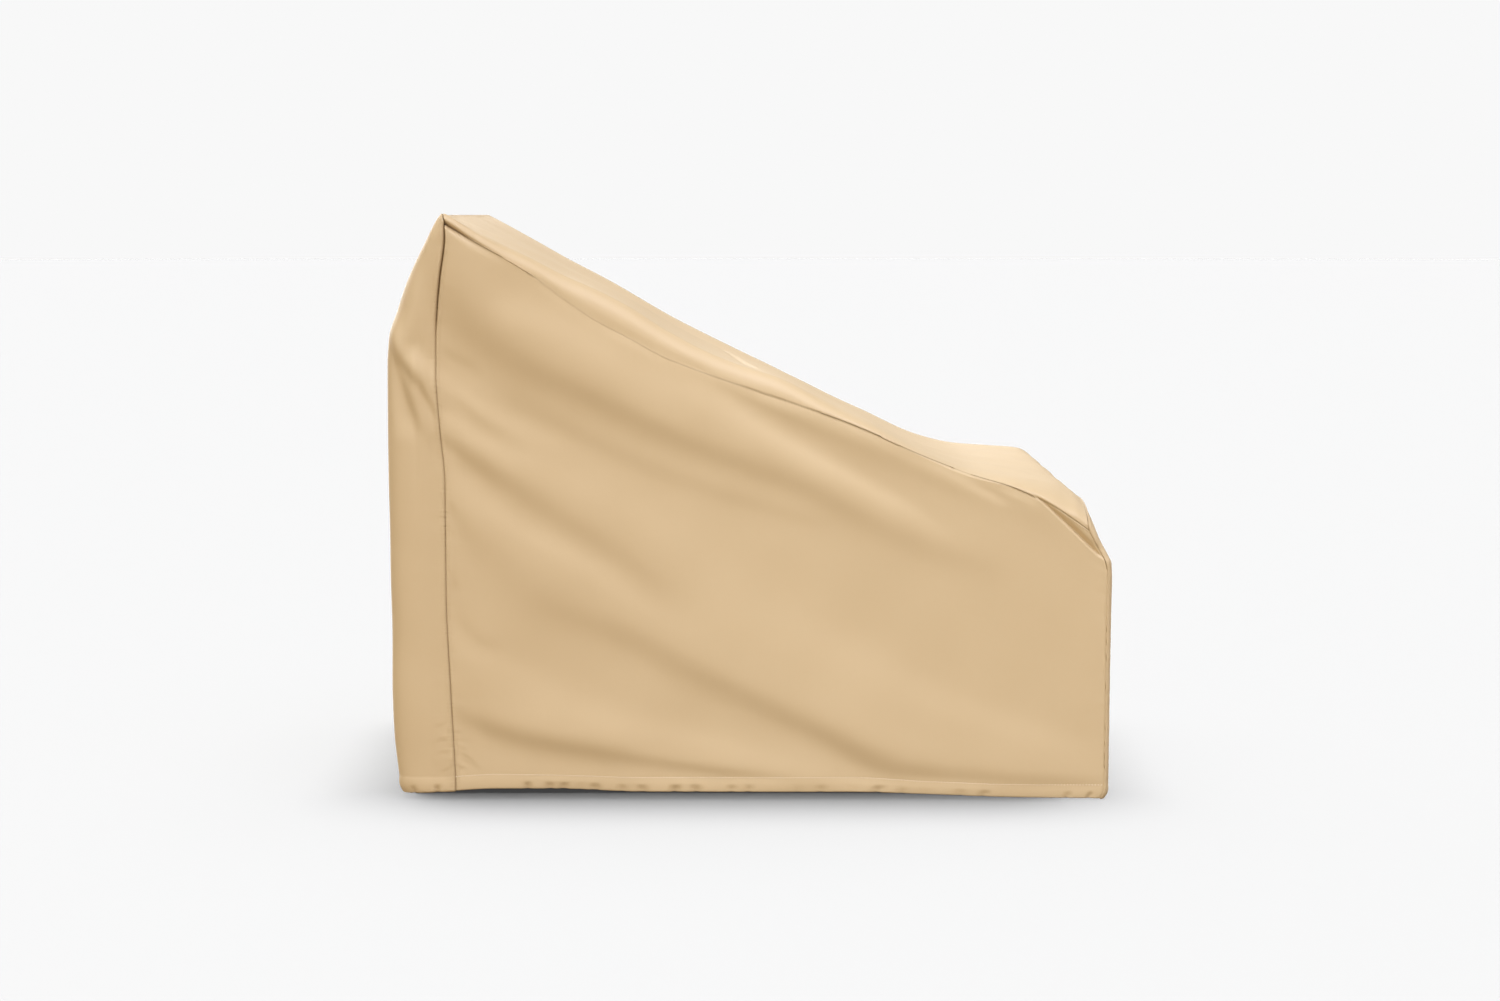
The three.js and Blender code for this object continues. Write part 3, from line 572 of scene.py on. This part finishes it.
# A panel of cloth: its grid, its normals, where its points lie on the flat cloth, and its seams
class Panel:
    def __init__(self, name, points, guide, flat):
        self.name, self.points, self.flat = name, points, flat
        self.normals = gridNormals(points, guide)
        self.seams = {}

    # Cloth beside a seam faces as the seam does, so that both panels are pushed alike there
    def sew(self, edge, line, facing):
        near = bump(distance(self.points, line), cover["seamBlend"])[..., None]
        self.normals = unit(self.normals * (1 - near) + facing * near)
        steps = np.linalg.norm(np.diff(line, axis=int(line.shape[0] == 1)), axis=-1)
        along = runningSum(steps).reshape(line.shape[:2])
        self.seams[edge] = {"line": line, "off": distance(self.points, line), "along": along}

    def push(self, out):
        self.points = self.points + self.normals * out[..., None]


# Folds start beside a panel's seams, and its seams stay in place
def folded(points, normals, flat, folds, key, lines):
    place = {"x": points[..., 0], "z": points[..., 2], "y": flat[0]}
    out = foldRelief(folds, key, "y", ("near", "far"), place)
    for line in lines:
        out = out * smoothStep(distance(points, line) / cover["foldFade"])
    return points + normals * out[..., None]


def crossPanel(name, rails, halfWidth, folds, key, ridges):
    points, normals, flatAcross = crossGrid(rails[-1], rails[1], halfWidth)
    run = np.cumsum(np.linalg.norm(np.diff(points, axis=0, prepend=points[:1]), axis=-1), axis=0)
    flat = (flatAcross, run)
    lines = [points[:, :1], points[:, -1:]] + [points[ridge][None] for ridge in ridges]
    panel = Panel(name, folded(points, normals, flat, folds, key, lines), normals, flat)
    panel.sew("near", points[:, :1], normals[:, :1])
    panel.sew("far", points[:, -1:], normals[:, -1:])
    return panel


# Two panels that meet at a ridge face half way between them there
def sewRidge(before, beforeRow, after, afterRow):
    facing = unit(before.normals[beforeRow] + after.normals[afterRow])[None]
    for panel, row in ((before, beforeRow), (after, afterRow)):
        panel.sew("ridge" if row == 0 else "frontRidge", panel.points[row][None].copy(), facing)


# How far a corner's round still draws the cloth in, at a distance past its seam
def roundLeft(radius, reach, past):
    left = np.clip(radius - reach - past, 0, radius)
    return radius - np.sqrt(radius**2 - left**2)


# One side panel, between its rear, top and front seams and its lower edge
def sidePanel(name, side):
    rear, rearFacing, _ = cornerGrid(rearRails[side], side, wallHalfWidth, onSeam)
    front, frontFacing, frontReach = cornerGrid(frontRails[side], side, wallHalfWidth, onSeam)
    across = spread(cells["side"], sidePace)
    topAt = railAt(topRails[side], across)
    upper, upperFacing, upperReach = cornerGrid(topAt, side, cover["halfWidth"], onSeam)
    upper, upperFacing = upper[:, 0][None], upperFacing[:, 0][None]
    down = wallShare[:, None, None]
    share = across[None, :, None]
    hem = hemShare[:, None]
    x = rear[..., 0] * (1 - across) + front[..., 0] * across
    hemZ = between(lowerEdge["x"], lowerEdge["hem"], x)
    edgeZ = between(lowerEdge["x"], lowerEdge["edge"], x) + cover["hemFold"]
    onHem = np.stack([x, np.zeros_like(x), hemZ * (1 - hem) + edgeZ * hem], -1)
    last = cells["wall"]

    def bow(seam):
        return seam - seam[:1] * (1 - down) - seam[last : last + 1] * down

    onWall = upper * (1 - down) + onHem[last : last + 1] * down + bow(rear) * (1 - share)
    onWall += bow(front) * share
    points = np.concatenate([onWall[:last], onHem[last:]])
    under, behind = upper[..., 2] - points[..., 2], front[..., 0] - points[..., 0]
    inset = np.maximum(
        roundLeft(topAt["radius"], upperReach, under) * topAt["roll"],
        roundLeft(frontRails[side]["radius"][:, None], frontReach[:, None], behind),
    )
    points[..., 1] = side * (wallHalfWidth[:, None] - inset)
    points[:, :1], points[:, -1:], points[:1] = rear, front, upper
    flat = (points[..., 0].copy(), points[..., 2].copy())
    panel = Panel(name, points, np.array([0, side, 0]), flat)
    panel.sew("rear", rear, rearFacing)
    panel.sew("front", front, frontFacing)
    panel.sew("upper", upper, upperFacing)
    return panel


# The folds of a side run on over its seams, and fade where the cloth turns the corner
def foldSides(panel, hem):
    x, y, z = np.moveaxis(panel.points, -1, 0)
    place = {"x": x, "z": z}
    out = np.zeros_like(x)
    for side, (slopes, pinch) in sides.items():
        facing = np.clip(panel.normals[..., 1] * side, 0, 1)
        relief = slopeRelief(slopes, x, z) + foldRelief(pinch, "x", "z", ("below", "above"), place)
        out += np.where(y * side > 0, relief * smoothStep(facing * cover["foldFacing"]), 0)
    panel.push(out * (1 - hem))


back = crossPanel("backPanel", rearRails, wallHalfWidth, backFolds, "z", [0])
front = crossPanel("frontPanel", frontRails, wallHalfWidth, frontFolds, "z", [0])
slopeRails = {side: railAt(rows, slopeShare) for side, rows in topRails.items()}
top = crossPanel("topPanel", slopeRails, cover["halfWidth"], topFolds, "x", [0, -1])
sewRidge(back, 0, top, 0)
sewRidge(top, -1, front, 0)
sideNear = sidePanel("sidePanelNear", -1)
sideFar = sidePanel("sidePanelFar", 1)
panels = [back, front, top, sideNear, sideFar]
walls = [back, front, sideNear, sideFar]
for panel in panels:
    foldSides(panel, hemShare[:, None] / 2 if panel in walls else 0)
print("panels shaped on their rails and folds")

# Each seam's shape by its place. The first letter of its name says which way at is measured, and the
# last column sets how much painted shade darkens its creases and how strong its puckers' bump is.
sewingRows = {
    "z rear": (
        (25, 1.5, 0.9, 0.5, 3, 1.3), (560, 1.5, 0.9, 0.5, 3, 1), (608, 2, 1, 0.6, 4, 1),
        (640, 3.4, 1.4, 0.8, 4, 2), (700, 4, 1.5, 0.9, 4, 3.4), (764, 4, 1.5, 1, 4, 3.4),
    ),
    "x upper": (
        (-402, 7, 4, 0, 9, 5), (-385, 6, 5, 0, 9, 2), (-370, 3.4, 7, 0, 9, 0.8), (-340, 1, 8, 0, 9, 0.2),
        (-315, 0, 8, 0, 8, 0), (-205, 0, 6, 0, 6, 0), (-80, 0, 6, 0, 6, 0), (-40, 0.2, 3.6, 0, 6, 0.2),
        (40, 0.4, 4, 0, 6, 0.45), (90, 0.4, 4, 0, 6, 0.5), (330, 0.5, 4, 0, 6, 0.5),
        (380, 0.8, 3, 0, 3, 0.5), (450, 0.8, 1, 0.3, 3, 0.6),
    ),
    "x shoulder": (
        (-402, 7, 4, 1, 10, 5), (-385, 6, 3.4, 0.8, 9, 2), (-370, 3.4, 3, 0.6, 9, 0.8),
        (-340, 1, 2.4, 0.3, 8, 0.2), (-315, 0, 1.6, 0, 6, 0), (-205, 0, 1, 0, 4, 0), (-80, 0, 1, 0, 4, 0),
        (-40, 0.2, 1.4, 0, 4, 0.2), (40, 0.4, 1.4, 0, 4, 0.45), (90, 0.4, 1.4, 0, 4, 0.5),
        (330, 0.5, 1.4, 0, 4, 0.5), (380, 0.8, 1, 0, 4, 0.5), (450, 0.8, 1, 0, 4, 0.6),
    ),
    "z front": ((20, 0.35, 0.8, 0.1, 4, 0.12), (290, 0.4, 0.8, 0.1, 4, 0.15), (360, 1, 1, 0.2, 4, 0.7)),
    "y ridge": ((-430, 2, 1.2, 0.2, 4, 1.6), (430, 2, 1.2, 0.2, 4, 1.6)),
}
sewingColumns = "at depth width lip lipOff dark"
sewing = {name: table(sewingColumns, *rows) for name, rows in sewingRows.items()}
sideSewing = {"rear": "z rear", "front": "z front", "upper": "x upper"}
sewnAs = {
    "backPanel": {"near": "z rear", "far": "z rear"},
    "frontPanel": {"near": "z front", "far": "z front"},
    "topPanel": {"near": "x shoulder", "far": "x shoulder"},
    "sidePanelNear": sideSewing,
    "sidePanelFar": sideSewing,
}
lipSpread = 0.6  # a lip's width, as a share of its distance from the seam


# The cloth turns in at a seam, with a low lip beside it
def grooveSeam(panel, edge):
    kind = sewnAs[panel.name].get(edge, "y ridge")
    seam = panel.seams[edge]
    place = seam["line"][..., "xyz".index(kind[0])]
    at = {column: between(sewing[kind]["at"], values, place) for column, values in sewing[kind].items()}
    # How much painted shade darkens the cloth's color in this seam's creases, which also scales its
    # puckers' bump
    seam["dark"] = at["dark"]
    lip = at["lip"] * bump(seam["off"] - at["lipOff"], at["lipOff"] * lipSpread)
    panel.push(lip - at["depth"] * bump(seam["off"], at["width"]))


puckering = {
    "pitch": 13,
    "height": (-0.66, 0.55),
    "width": (1.82, 3.9),
    "widening": 0.12,
    "start": 2.5,
    "reach": (5.2, 18.2),
    "slant": (-0.25, 0.25),
    "ridgeShare": 0.3,
}


# A place in the middle 80% of the kth equal step
def scattered(k, pitch):
    return (k + random.uniform(0.1, 0.9)) * pitch


# Short puckers that run out from a seam's stitches
def puckerSeam(panel, edge):
    seam = panel.seams[edge]
    rise = smoothStep(seam["off"] / puckering["start"])
    out = np.zeros(panel.points.shape[:2])
    for k in range(int(seam["along"].max() / puckering["pitch"])):
        at = scattered(k, puckering["pitch"])
        height = random.uniform(*puckering["height"])
        if edge in ("ridge", "frontRidge"):
            height *= puckering["ridgeShare"]
        width = random.uniform(*puckering["width"])
        reach = random.uniform(*puckering["reach"])
        slant = random.uniform(*puckering["slant"])
        crest = seam["along"] - at - slant * seam["off"]
        ridge = bump(crest, width + puckering["widening"] * seam["off"])
        out += height * ridge * rise * np.exp(-seam["off"] / reach)
    panel.push(out)


slack = {"height": 0.5, "length": (90, 240), "waves": 7}


# Slow waves of the cloth where nothing pulls it flat
def slackWaves(panel):
    across, down = panel.flat
    out = np.zeros(panel.points.shape[:2])
    for _ in range(slack["waves"]):
        turn, phase = random.uniform(0, math.tau, 2)
        pace = math.tau / random.uniform(*slack["length"])
        out += np.sin(pace * (across * math.cos(turn) + down * math.sin(turn)) + phase)
    for seam in panel.seams.values():
        out *= smoothStep(seam["off"] / cover["foldFade"])
    if panel in walls:
        out *= 1 - hemShare[:, None]
    panel.push(out * slack["height"] / slack["waves"] ** 0.5)


hemming = {
    "stitchDepth": 0.15,
    "stitchWidth": 1.3,
    "flare": 1.4,  # how far the hem stands out by its lower edge
    "flareStart": 0.5,
    "flareHeight": 17,
    "gatherDepth": 5,
    "gatherWidth": 4.2,
    "gatherSize": (0.5, 1),
    "gatherSlant": (-0.25, 0.25),
    "gatherPitch": 27,
    "gatherEnd": 12,  # length beside a seam that has no gather
    "gatherStart": 0.45,  # share of the hem's height that has no gather, below its stitches
    "gatherGrowth": 0.5,  # share over which gathers grow
}
# Places of gathers along the near side's hem
gathersNear = [-296, -267, -245, -226, -208, -171, -146, -99, -76, -28, -3]
gathersNear += [67, 92, 135, 170, 197, 229, 275, 310, 417, 447]


# Where a lower edge is gathered
def gatherPlaces(panel):
    if panel is sideNear:
        return gathersNear
    low = panel.flat[0][-1].min() + hemming["gatherEnd"]
    high = panel.flat[0][-1].max() - hemming["gatherEnd"]
    count = int((high - low) / hemming["gatherPitch"])
    return [low + scattered(k, hemming["gatherPitch"]) for k in range(count)]


# The hem stands a little proud below its line of stitches
def shapeHem(panel):
    below = panel.points[cells["wall"], :, 2] - panel.points[..., 2]
    out = hemming["flare"] * np.clip((below - hemming["flareStart"]) / hemming["flareHeight"], 0, 1)
    out -= hemming["stitchDepth"] * bump(below, hemming["stitchWidth"])
    onEdge = smoothStep((hemShare[:, None] - hemming["gatherStart"]) / hemming["gatherGrowth"])
    for place in gatherPlaces(panel):
        size = random.uniform(*hemming["gatherSize"])
        slant = random.uniform(*hemming["gatherSlant"])
        crest = panel.flat[0][-1] - place - slant * below
        out -= hemming["gatherDepth"] * size * bump(crest, hemming["gatherWidth"] * size) * onEdge
    panel.points = panel.points + unit(panel.normals * [1, 1, 0]) * out[..., None]


random = np.random.default_rng(11)
for panel in panels:
    slackWaves(panel)
    for edge in panel.seams:
        puckerSeam(panel, edge)
        grooveSeam(panel, edge)
for panel in walls:
    shapeHem(panel)
print("seams, puckers and hems shaped")


# A turned hem's rows take the values of the last row above them
def runOn(values, rows):
    return np.concatenate([values, np.repeat(values[-1:], rows, 0)])


# The hem's cloth turns at the lower edge and goes back up inside
def turnHem(panel):
    facing = unit(panel.normals[-1] * [1, 1, 0])
    edge, up, fold = panel.points[-1], np.array([0, 0, 1]), cover["hemFold"]
    angles = np.linspace(0, math.pi, cells["hemFold"] + 1)[1:]
    rises = np.linspace(0, cover["hemTurnUp"], cells["hemTurnUp"] + 1)[1:]
    rows = [edge - facing * fold * (1 - math.cos(a)) - up * fold * math.sin(a) for a in angles]
    rows += [edge - facing * fold * 2 + up * rise for rise in rises]
    gone = np.linalg.norm(np.diff([edge] + rows, axis=0), axis=-1).cumsum(0)
    across, down = panel.flat
    way = -1 if panel in (sideNear, sideFar) else 1
    panel.points = np.concatenate([panel.points, rows])
    panel.flat = (runOn(across, len(rows)), np.concatenate([down, down[-1:] + way * gone]))


# What the nearest seam says of each point: how far off it is, how far along it is, and how much painted
# shade and pucker bump its creases get
def atSeam(panel, what):
    offs = np.array([seam["off"] for seam in panel.seams.values()])
    values = np.array([np.broadcast_to(seam[what], offs.shape[1:]) for seam in panel.seams.values()])
    nearest = np.take_along_axis(values, offs.argmin(0)[None], 0)[0]
    return runOn(nearest, len(panel.points) - len(nearest))


def addValues(mesh, name, values):
    data = mesh.attributes.new(name, "FLOAT", "POINT").data
    data.foreach_set("value", values.astype(np.float32).ravel())


def newObject(name, data):
    added = bpy.data.objects.new(name, data)
    bpy.context.collection.objects.link(added)
    return added


def newPiece(name, shape, material):
    mesh = bpy.data.meshes.new(name)
    shape.to_mesh(mesh)
    shape.free()
    mesh.materials.append(material)
    return newObject(name, mesh)


# A sheet of cloth on a panel's grid, with its place on the flat cloth as its UV map
def clothPiece(panel, material):
    points = panel.points.copy()
    inset = cover["edgeInset"]
    points[:, 0] += unit(points[:, 1] - points[:, 0]) * inset
    points[:, -1] += unit(points[:, -2] - points[:, -1]) * inset
    points[0] += unit(points[1] - points[0]) * inset
    if panel is top:
        points[-1] += unit(points[-2] - points[-1]) * inset
    rows, columns = points.shape[:2]
    shape = bmesh.new()
    bmesh.ops.create_grid(shape, x_segments=columns - 1, y_segments=rows - 1, size=1)
    for vert, place in zip(shape.verts, points.reshape(-1, 3) * mm):
        vert.co = place
    shape.normal_update()
    shape.faces.ensure_lookup_table()
    middle = len(shape.faces) // 2 + columns // 2
    if shape.faces[middle].normal.dot(Vector(panel.normals[rows // 2, columns // 2])) < 0:
        bmesh.ops.reverse_faces(shape, faces=shape.faces)
    piece = newPiece(panel.name, shape, material)
    mesh = piece.data
    flat = np.stack(panel.flat, -1).reshape(-1, 2) * mm
    corners = np.zeros(len(mesh.loops), np.int32)
    mesh.loops.foreach_get("vertex_index", corners)
    mesh.uv_layers.new(name="cloth").data.foreach_set("uv", flat[corners].astype(np.float32).ravel())
    addValues(mesh, "seamOff", atSeam(panel, "off") * mm)
    addValues(mesh, "seamAlong", atSeam(panel, "along") * mm)
    # Strength of the painted shade in the seams' creases, read by the cloth's color and by its puckers'
    # bump
    addValues(mesh, "seamShadeAndPucker", atSeam(panel, "dark"))
    mesh.shade_smooth()
    wall = piece.modifiers.new("clothThickness", "SOLIDIFY")
    wall.thickness = cover["clothThickness"] * mm
    wall.offset = -1
    return piece


stitching = {"pitch": 4.1, "length": 2.5, "thickness": 1.2, "proud": 0.35, "wobble": 0.12}


def pointAt(at, along, line):
    return Vector([np.interp(at, along, line[:, k]) for k in range(3)])


# The line of stitches at the top of a panel's hem, each a short rounded run of thread
def hemStitches(panel, material):
    row = cells["wall"]
    line, facing = panel.points[row], gridNormals(panel.points, panel.points * [1, 1, 0])[row]
    along = runningSum(distance(line[1:], line[:-1]))
    shape = bmesh.new()
    halfLength, halfThickness = stitching["length"] / 2, stitching["thickness"] / 2
    size = Matrix.Diagonal((halfLength, halfThickness, halfThickness, 1))
    for at in np.arange(stitching["pitch"] / 2, along[-1], stitching["pitch"]):
        near, far = pointAt(at - 1, along, line), pointAt(at + 1, along, line)
        out = pointAt(at, along, facing).normalized()
        way = (far - near).normalized()
        up = out.cross(way)
        aside = up * random.normal(0, stitching["wobble"])
        place = (far + near) / 2 + out * stitching["proud"] + aside
        turn = Matrix((way, up, out)).transposed().to_4x4()
        matrix = Matrix.Scale(mm, 4) @ Matrix.Translation(place) @ turn @ size
        bmesh.ops.create_icosphere(shape, subdivisions=1, radius=1, matrix=matrix)
    stitches = newPiece(panel.name + "Stitches", shape, material)
    stitches.data.shade_smooth()
    return stitches


# A shader value. Plus and times on it add Math nodes.
class Signal:
    def __init__(self, finish, socket):
        self.finish, self.socket = finish, socket

    def math(self, operation, *others):
        inputs = dict(enumerate((self,) + others))
        return self.finish.add("ShaderNodeMath", {"operation": operation}, inputs)

    def __add__(self, other):
        return self.math("ADD", other)

    def __mul__(self, other):
        return self.math("MULTIPLY", other)

    __radd__ = __add__
    __rmul__ = __mul__


# A material with its nodes
class Finish:
    def __init__(self, name):
        self.material = bpy.data.materials.new(name)
        self.material.use_nodes = True
        self.nodes = self.material.node_tree.nodes
        self.links = self.material.node_tree.links
        self.shader = self.nodes["Principled BSDF"]

    def add(self, kind, settings, inputs, output=0):
        node = self.nodes.new(kind)
        for name, value in settings.items():
            setattr(node, name, value)
        self.fill(node, inputs)
        return Signal(self, node.outputs[output])

    def fill(self, node, inputs):
        for name, value in inputs.items():
            if isinstance(value, Signal):
                self.links.new(value.socket, node.inputs[name])
            else:
                node.inputs[name].default_value = value


# A Mix node's share and colors are its sockets 0, 6 and 7, and its blended color is output 2
def blendColors(finish, share, low, high):
    return finish.add("ShaderNodeMix", {"data_type": "RGBA"}, {0: share, 6: low, 7: high}, 2)


def component(finish, vector, k):
    return finish.add("ShaderNodeSeparateXYZ", {}, {0: vector}, k)


def meshValue(finish, name):
    return finish.add("ShaderNodeAttribute", {"attribute_name": name}, {}, "Fac")


def noise(finish, place, scale, detail):
    return finish.add("ShaderNodeTexNoise", {}, {"Vector": place, "Scale": scale, "Detail": detail})


clothFinish = {
    "color": (0.603, 0.457, 0.27, 1),
    # The darker tone blended in by the mottle's random tone and by the painted shade towards the back
    "deeper": (0.54, 0.396, 0.222, 1),
    # Painted shade: the cloth's color darkens over this stretch of x towards the back, standing in for
    # light that leaves the rear darker
    "paintedRearShadePlace": (0.1, -0.4),  # the color deepens over this stretch, towards the back
    "mottleAndPaintedShadeShares": (0.4, 0.6),  # how much the mottling and the place deepen it
    "mottleScale": 9,
    # Painted shade in the seams' creases: a near black brown, its share of the color and its width off
    # the seam
    "paintedCreaseShade": (0.2, 0.115, 0.045, 1),
    "paintedCreaseShadeShare": 0.85,
    "paintedCreaseShadeWidth": 0.0009,
    "roughness": 0.48,
    "roughnessChange": 0.08,
    "gloss": 0.55,
    "yarnPitch": 0.0008,
    "yarnHeight": 0.00003,
    "crinkleSize": 0.012,
    "crinkleHeight": 0.00012,
    "puckerHeight": 0.0012,
    "puckerFade": 0.004,
    "puckerScale": (260, 40),  # along a seam and away from it
}


def makeCloth():
    finish = Finish("tanPolyester")
    flat = finish.add("ShaderNodeUVMap", {"uv_map": "cloth"}, {})
    u, v = (component(finish, flat, k) for k in (0, 1))
    off, along, dark = (meshValue(finish, name) for name in ("seamOff", "seamAlong", "seamShadeAndPucker"))
    turn = math.pi / clothFinish["yarnPitch"]
    weave = (u * turn).math("SINE") * (v * turn).math("SINE")
    mottle = noise(finish, flat, clothFinish["mottleScale"], 3)
    crinkle = noise(finish, flat, 1 / clothFinish["crinkleSize"], 2)
    alongScale, offScale = clothFinish["puckerScale"]
    stretched = {"X": along * alongScale, "Y": off * offScale}
    puckerPlace = finish.add("ShaderNodeCombineXYZ", {}, stretched)
    besideSeam = (off * (-1 / clothFinish["puckerFade"])).math("EXPONENT")
    pucker = noise(finish, puckerPlace, 1, 1) * besideSeam * dark.math("MINIMUM", 1)
    height = weave * clothFinish["yarnHeight"] + crinkle * clothFinish["crinkleHeight"]
    height = height + pucker * clothFinish["puckerHeight"]
    normal = finish.add("ShaderNodeBump", {}, {"Strength": 1, "Distance": 1, "Height": height})
    x = component(finish, finish.add("ShaderNodeTexCoord", {}, {}, "Object"), 0)
    start, end = clothFinish["paintedRearShadePlace"]
    smooth = {"interpolation_type": "SMOOTHSTEP"}
    # Painted shade: a ramp by place that darkens the cloth towards the back, mixed with the mottle's
    # random tone
    paintedRearShade = finish.add("ShaderNodeMapRange", smooth, {"Value": x, "From Min": start, "From Max": end})
    mottleShare, paintedRearShadeShare = clothFinish["mottleAndPaintedShadeShares"]
    deeper = mottle * mottleShare + paintedRearShade * paintedRearShadeShare
    mottleAndRearShade = blendColors(finish, deeper, clothFinish["color"], clothFinish["deeper"])
    # Painted shade: the cloth's color darkens in each seam's creases, where shade falls
    paintedCreaseShadeMask = (off * (-1 / clothFinish["paintedCreaseShadeWidth"])).math("EXPONENT") * dark
    color = blendColors(finish, paintedCreaseShadeMask * clothFinish["paintedCreaseShadeShare"], mottleAndRearShade, clothFinish["paintedCreaseShade"])
    change = clothFinish["roughnessChange"]
    finish.fill(
        finish.shader,
        {
            "Base Color": color,
            "Roughness": mottle * change + (clothFinish["roughness"] - change / 2),
            "Specular IOR Level": clothFinish["gloss"],
            "Normal": normal,
        },
    )
    return finish.material


threadFinish = {
    "color": (0.9, 0.8, 0.64, 1),
    # The thread's color in the grooves of its twist: painted shade
    "deeper": (0.74, 0.62, 0.45, 1),
    "roughness": 0.55,
    "twistPitch": 0.0006,
    "twistHeight": 0.00005,
    "twistSlant": 1.5,
}


def makeThread():
    finish = Finish("paleThread")
    place = finish.add("ShaderNodeTexCoord", {}, {}, "Object")
    x, y, z = (component(finish, place, k) for k in range(3))
    slanted = x + y + z * threadFinish["twistSlant"]
    twist = (slanted * (math.tau / threadFinish["twistPitch"])).math("SINE") * 0.5 + 0.5
    height = twist * threadFinish["twistHeight"]
    finish.fill(
        finish.shader,
        {
            # Painted shade: the thread's color darkens in the grooves of its twist, where its bump dips
            "Base Color": blendColors(finish, twist, threadFinish["deeper"], threadFinish["color"]),
            "Roughness": threadFinish["roughness"],
            "Normal": finish.add("ShaderNodeBump", {}, {"Strength": 1, "Distance": 1, "Height": height}),
        },
    )
    return finish.material


studio = {
    "camera": (0, -5.225, 0.775),
    "cameraPitch": math.atan(286 / 3650),  # the horizon's rise and the lens, in pixels
    "lens": 87.6,
    "backdrop": 0.939,
    "sky": (0.58, 0.55, 0.495),
    "shownFloor": (0.05, 0.05, 0.05),
    "floorGlow": 0.05,
    "bouncingFloor": (0.3, 0.235, 0.16),
    "bounceDrop": 0.002,
    # Casts the floor light's shadow: from x, to x, half width, height
    "shadowBlock": (-0.45, 0.422, 0.365, 0.25),
    "reach": 60,
}
# Each sun's turns about X, Y and Z and its width, in degrees, and its strength and color
suns = {
    "key": ((25, 12, 0), 50, 2.5, (0.96, 1, 1.18)),
    "cameraSide": ((98, 0, -22), 90, 2.42, (1, 0.98, 0.9)),
    "behind": ((-53, -48, 0), 60, 2.4, (1, 0.98, 0.96)),
    "onFloor": ((-22, 0, 0), 60, 55, (1, 1, 1)),
}


def plainFinish(name, shade, glow):
    finish = Finish(name)
    look = {"Base Color": (*shade, 1), "Roughness": 1, "Specular IOR Level": 0}
    finish.fill(finish.shader, look | {"Emission Color": (glow, glow, glow, 1), "Emission Strength": 1})
    return finish.material


# A part of the studio. The camera sees the shown ones, and the light meets the others.
def addStage(name, shape, material, shown):
    part = newPiece(name, shape, material)
    part.visible_camera = shown
    part.visible_diffuse = part.visible_glossy = part.visible_shadow = not shown
    return part


def addFloor(name, shade, glow, drop, shown):
    shape = bmesh.new()
    place = Matrix.Translation((0, 0, -drop))
    bmesh.ops.create_grid(shape, x_segments=1, y_segments=1, size=studio["reach"], matrix=place)
    return addStage(name, shape, plainFinish(name, shade, glow), shown)


def addShadowBlock():
    low, high, halfWidth, height = studio["shadowBlock"]
    shape = bmesh.new()
    place = Matrix.Translation(((low + high) / 2, 0, height / 2))
    bmesh.ops.create_cube(shape, matrix=place @ Matrix.Diagonal((high - low, halfWidth * 2, height, 1)))
    return addStage("shadowBlock", shape, plainFinish("shadowBlock", studio["bouncingFloor"], 0), False)


def onlyThis(part):
    group = bpy.data.collections.new("only " + part.name)
    group.objects.link(part)
    return group


def addSun(name, turn, width, energy, color):
    data = bpy.data.lights.new(name, "SUN")
    data.energy = energy
    data.color = color
    data.angle = math.radians(width)
    lamp = newObject(name, data)
    lamp.rotation_euler = [math.radians(angle) for angle in turn]
    return lamp


def buildStudio():
    shown = addFloor("paleFloor", studio["shownFloor"], studio["floorGlow"], 0, True)
    addFloor("floorBounce", studio["bouncingFloor"], 0, studio["bounceDrop"], False)
    shape = bmesh.new()
    bmesh.ops.create_icosphere(shape, subdivisions=4, radius=studio["reach"])
    addStage("paleBackdrop", shape, plainFinish("paleBackdrop", (0, 0, 0), studio["backdrop"]), True)
    lamps = {name: addSun(name, *sun) for name, sun in suns.items()}
    lamps["onFloor"].light_linking.receiver_collection = onlyThis(shown)
    lamps["onFloor"].light_linking.blocker_collection = onlyThis(addShadowBlock())
    world = bpy.data.worlds.new("studio")
    world.use_nodes = True
    world.node_tree.nodes["Background"].inputs["Color"].default_value = (*studio["sky"], 1)
    bpy.context.scene.world = world
    data = bpy.data.cameras.new("camera")
    data.lens = studio["lens"]
    camera = newObject("camera", data)
    camera.location = studio["camera"]
    camera.rotation_euler = (math.pi / 2 - studio["cameraPitch"], 0, 0)
    bpy.context.scene.camera = camera
    bpy.context.scene.view_settings.view_transform = "Standard"


buildStudio()
print("studio built")
clothMaterial = makeCloth()
threadMaterial = makeThread()
# The node that each panel replaces, and its flat cloth's width, length and area
sheets = {
    "backPanel": ("back", 1.0, 0.79, 0.77),
    "frontPanel": ("front", 0.9, 0.43, 0.36),
    "topPanel": ("top", 0.92, 0.98, 0.83),
    "sidePanelNear": ("side_near", 0.9, 0.78, 0.49),
    "sidePanelFar": ("side_far", 0.9, 0.78, 0.49),
}
for panel in panels:
    stitches = [hemStitches(panel, threadMaterial)] if panel in walls else []
    if panel in walls:
        turnHem(panel)
    piece = clothPiece(panel, clothMaterial)
    for part in [piece] + stitches:
        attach(part, "root")
    node, width, length, area = sheets[panel.name]
    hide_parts(node)
print("cloth sheets made")
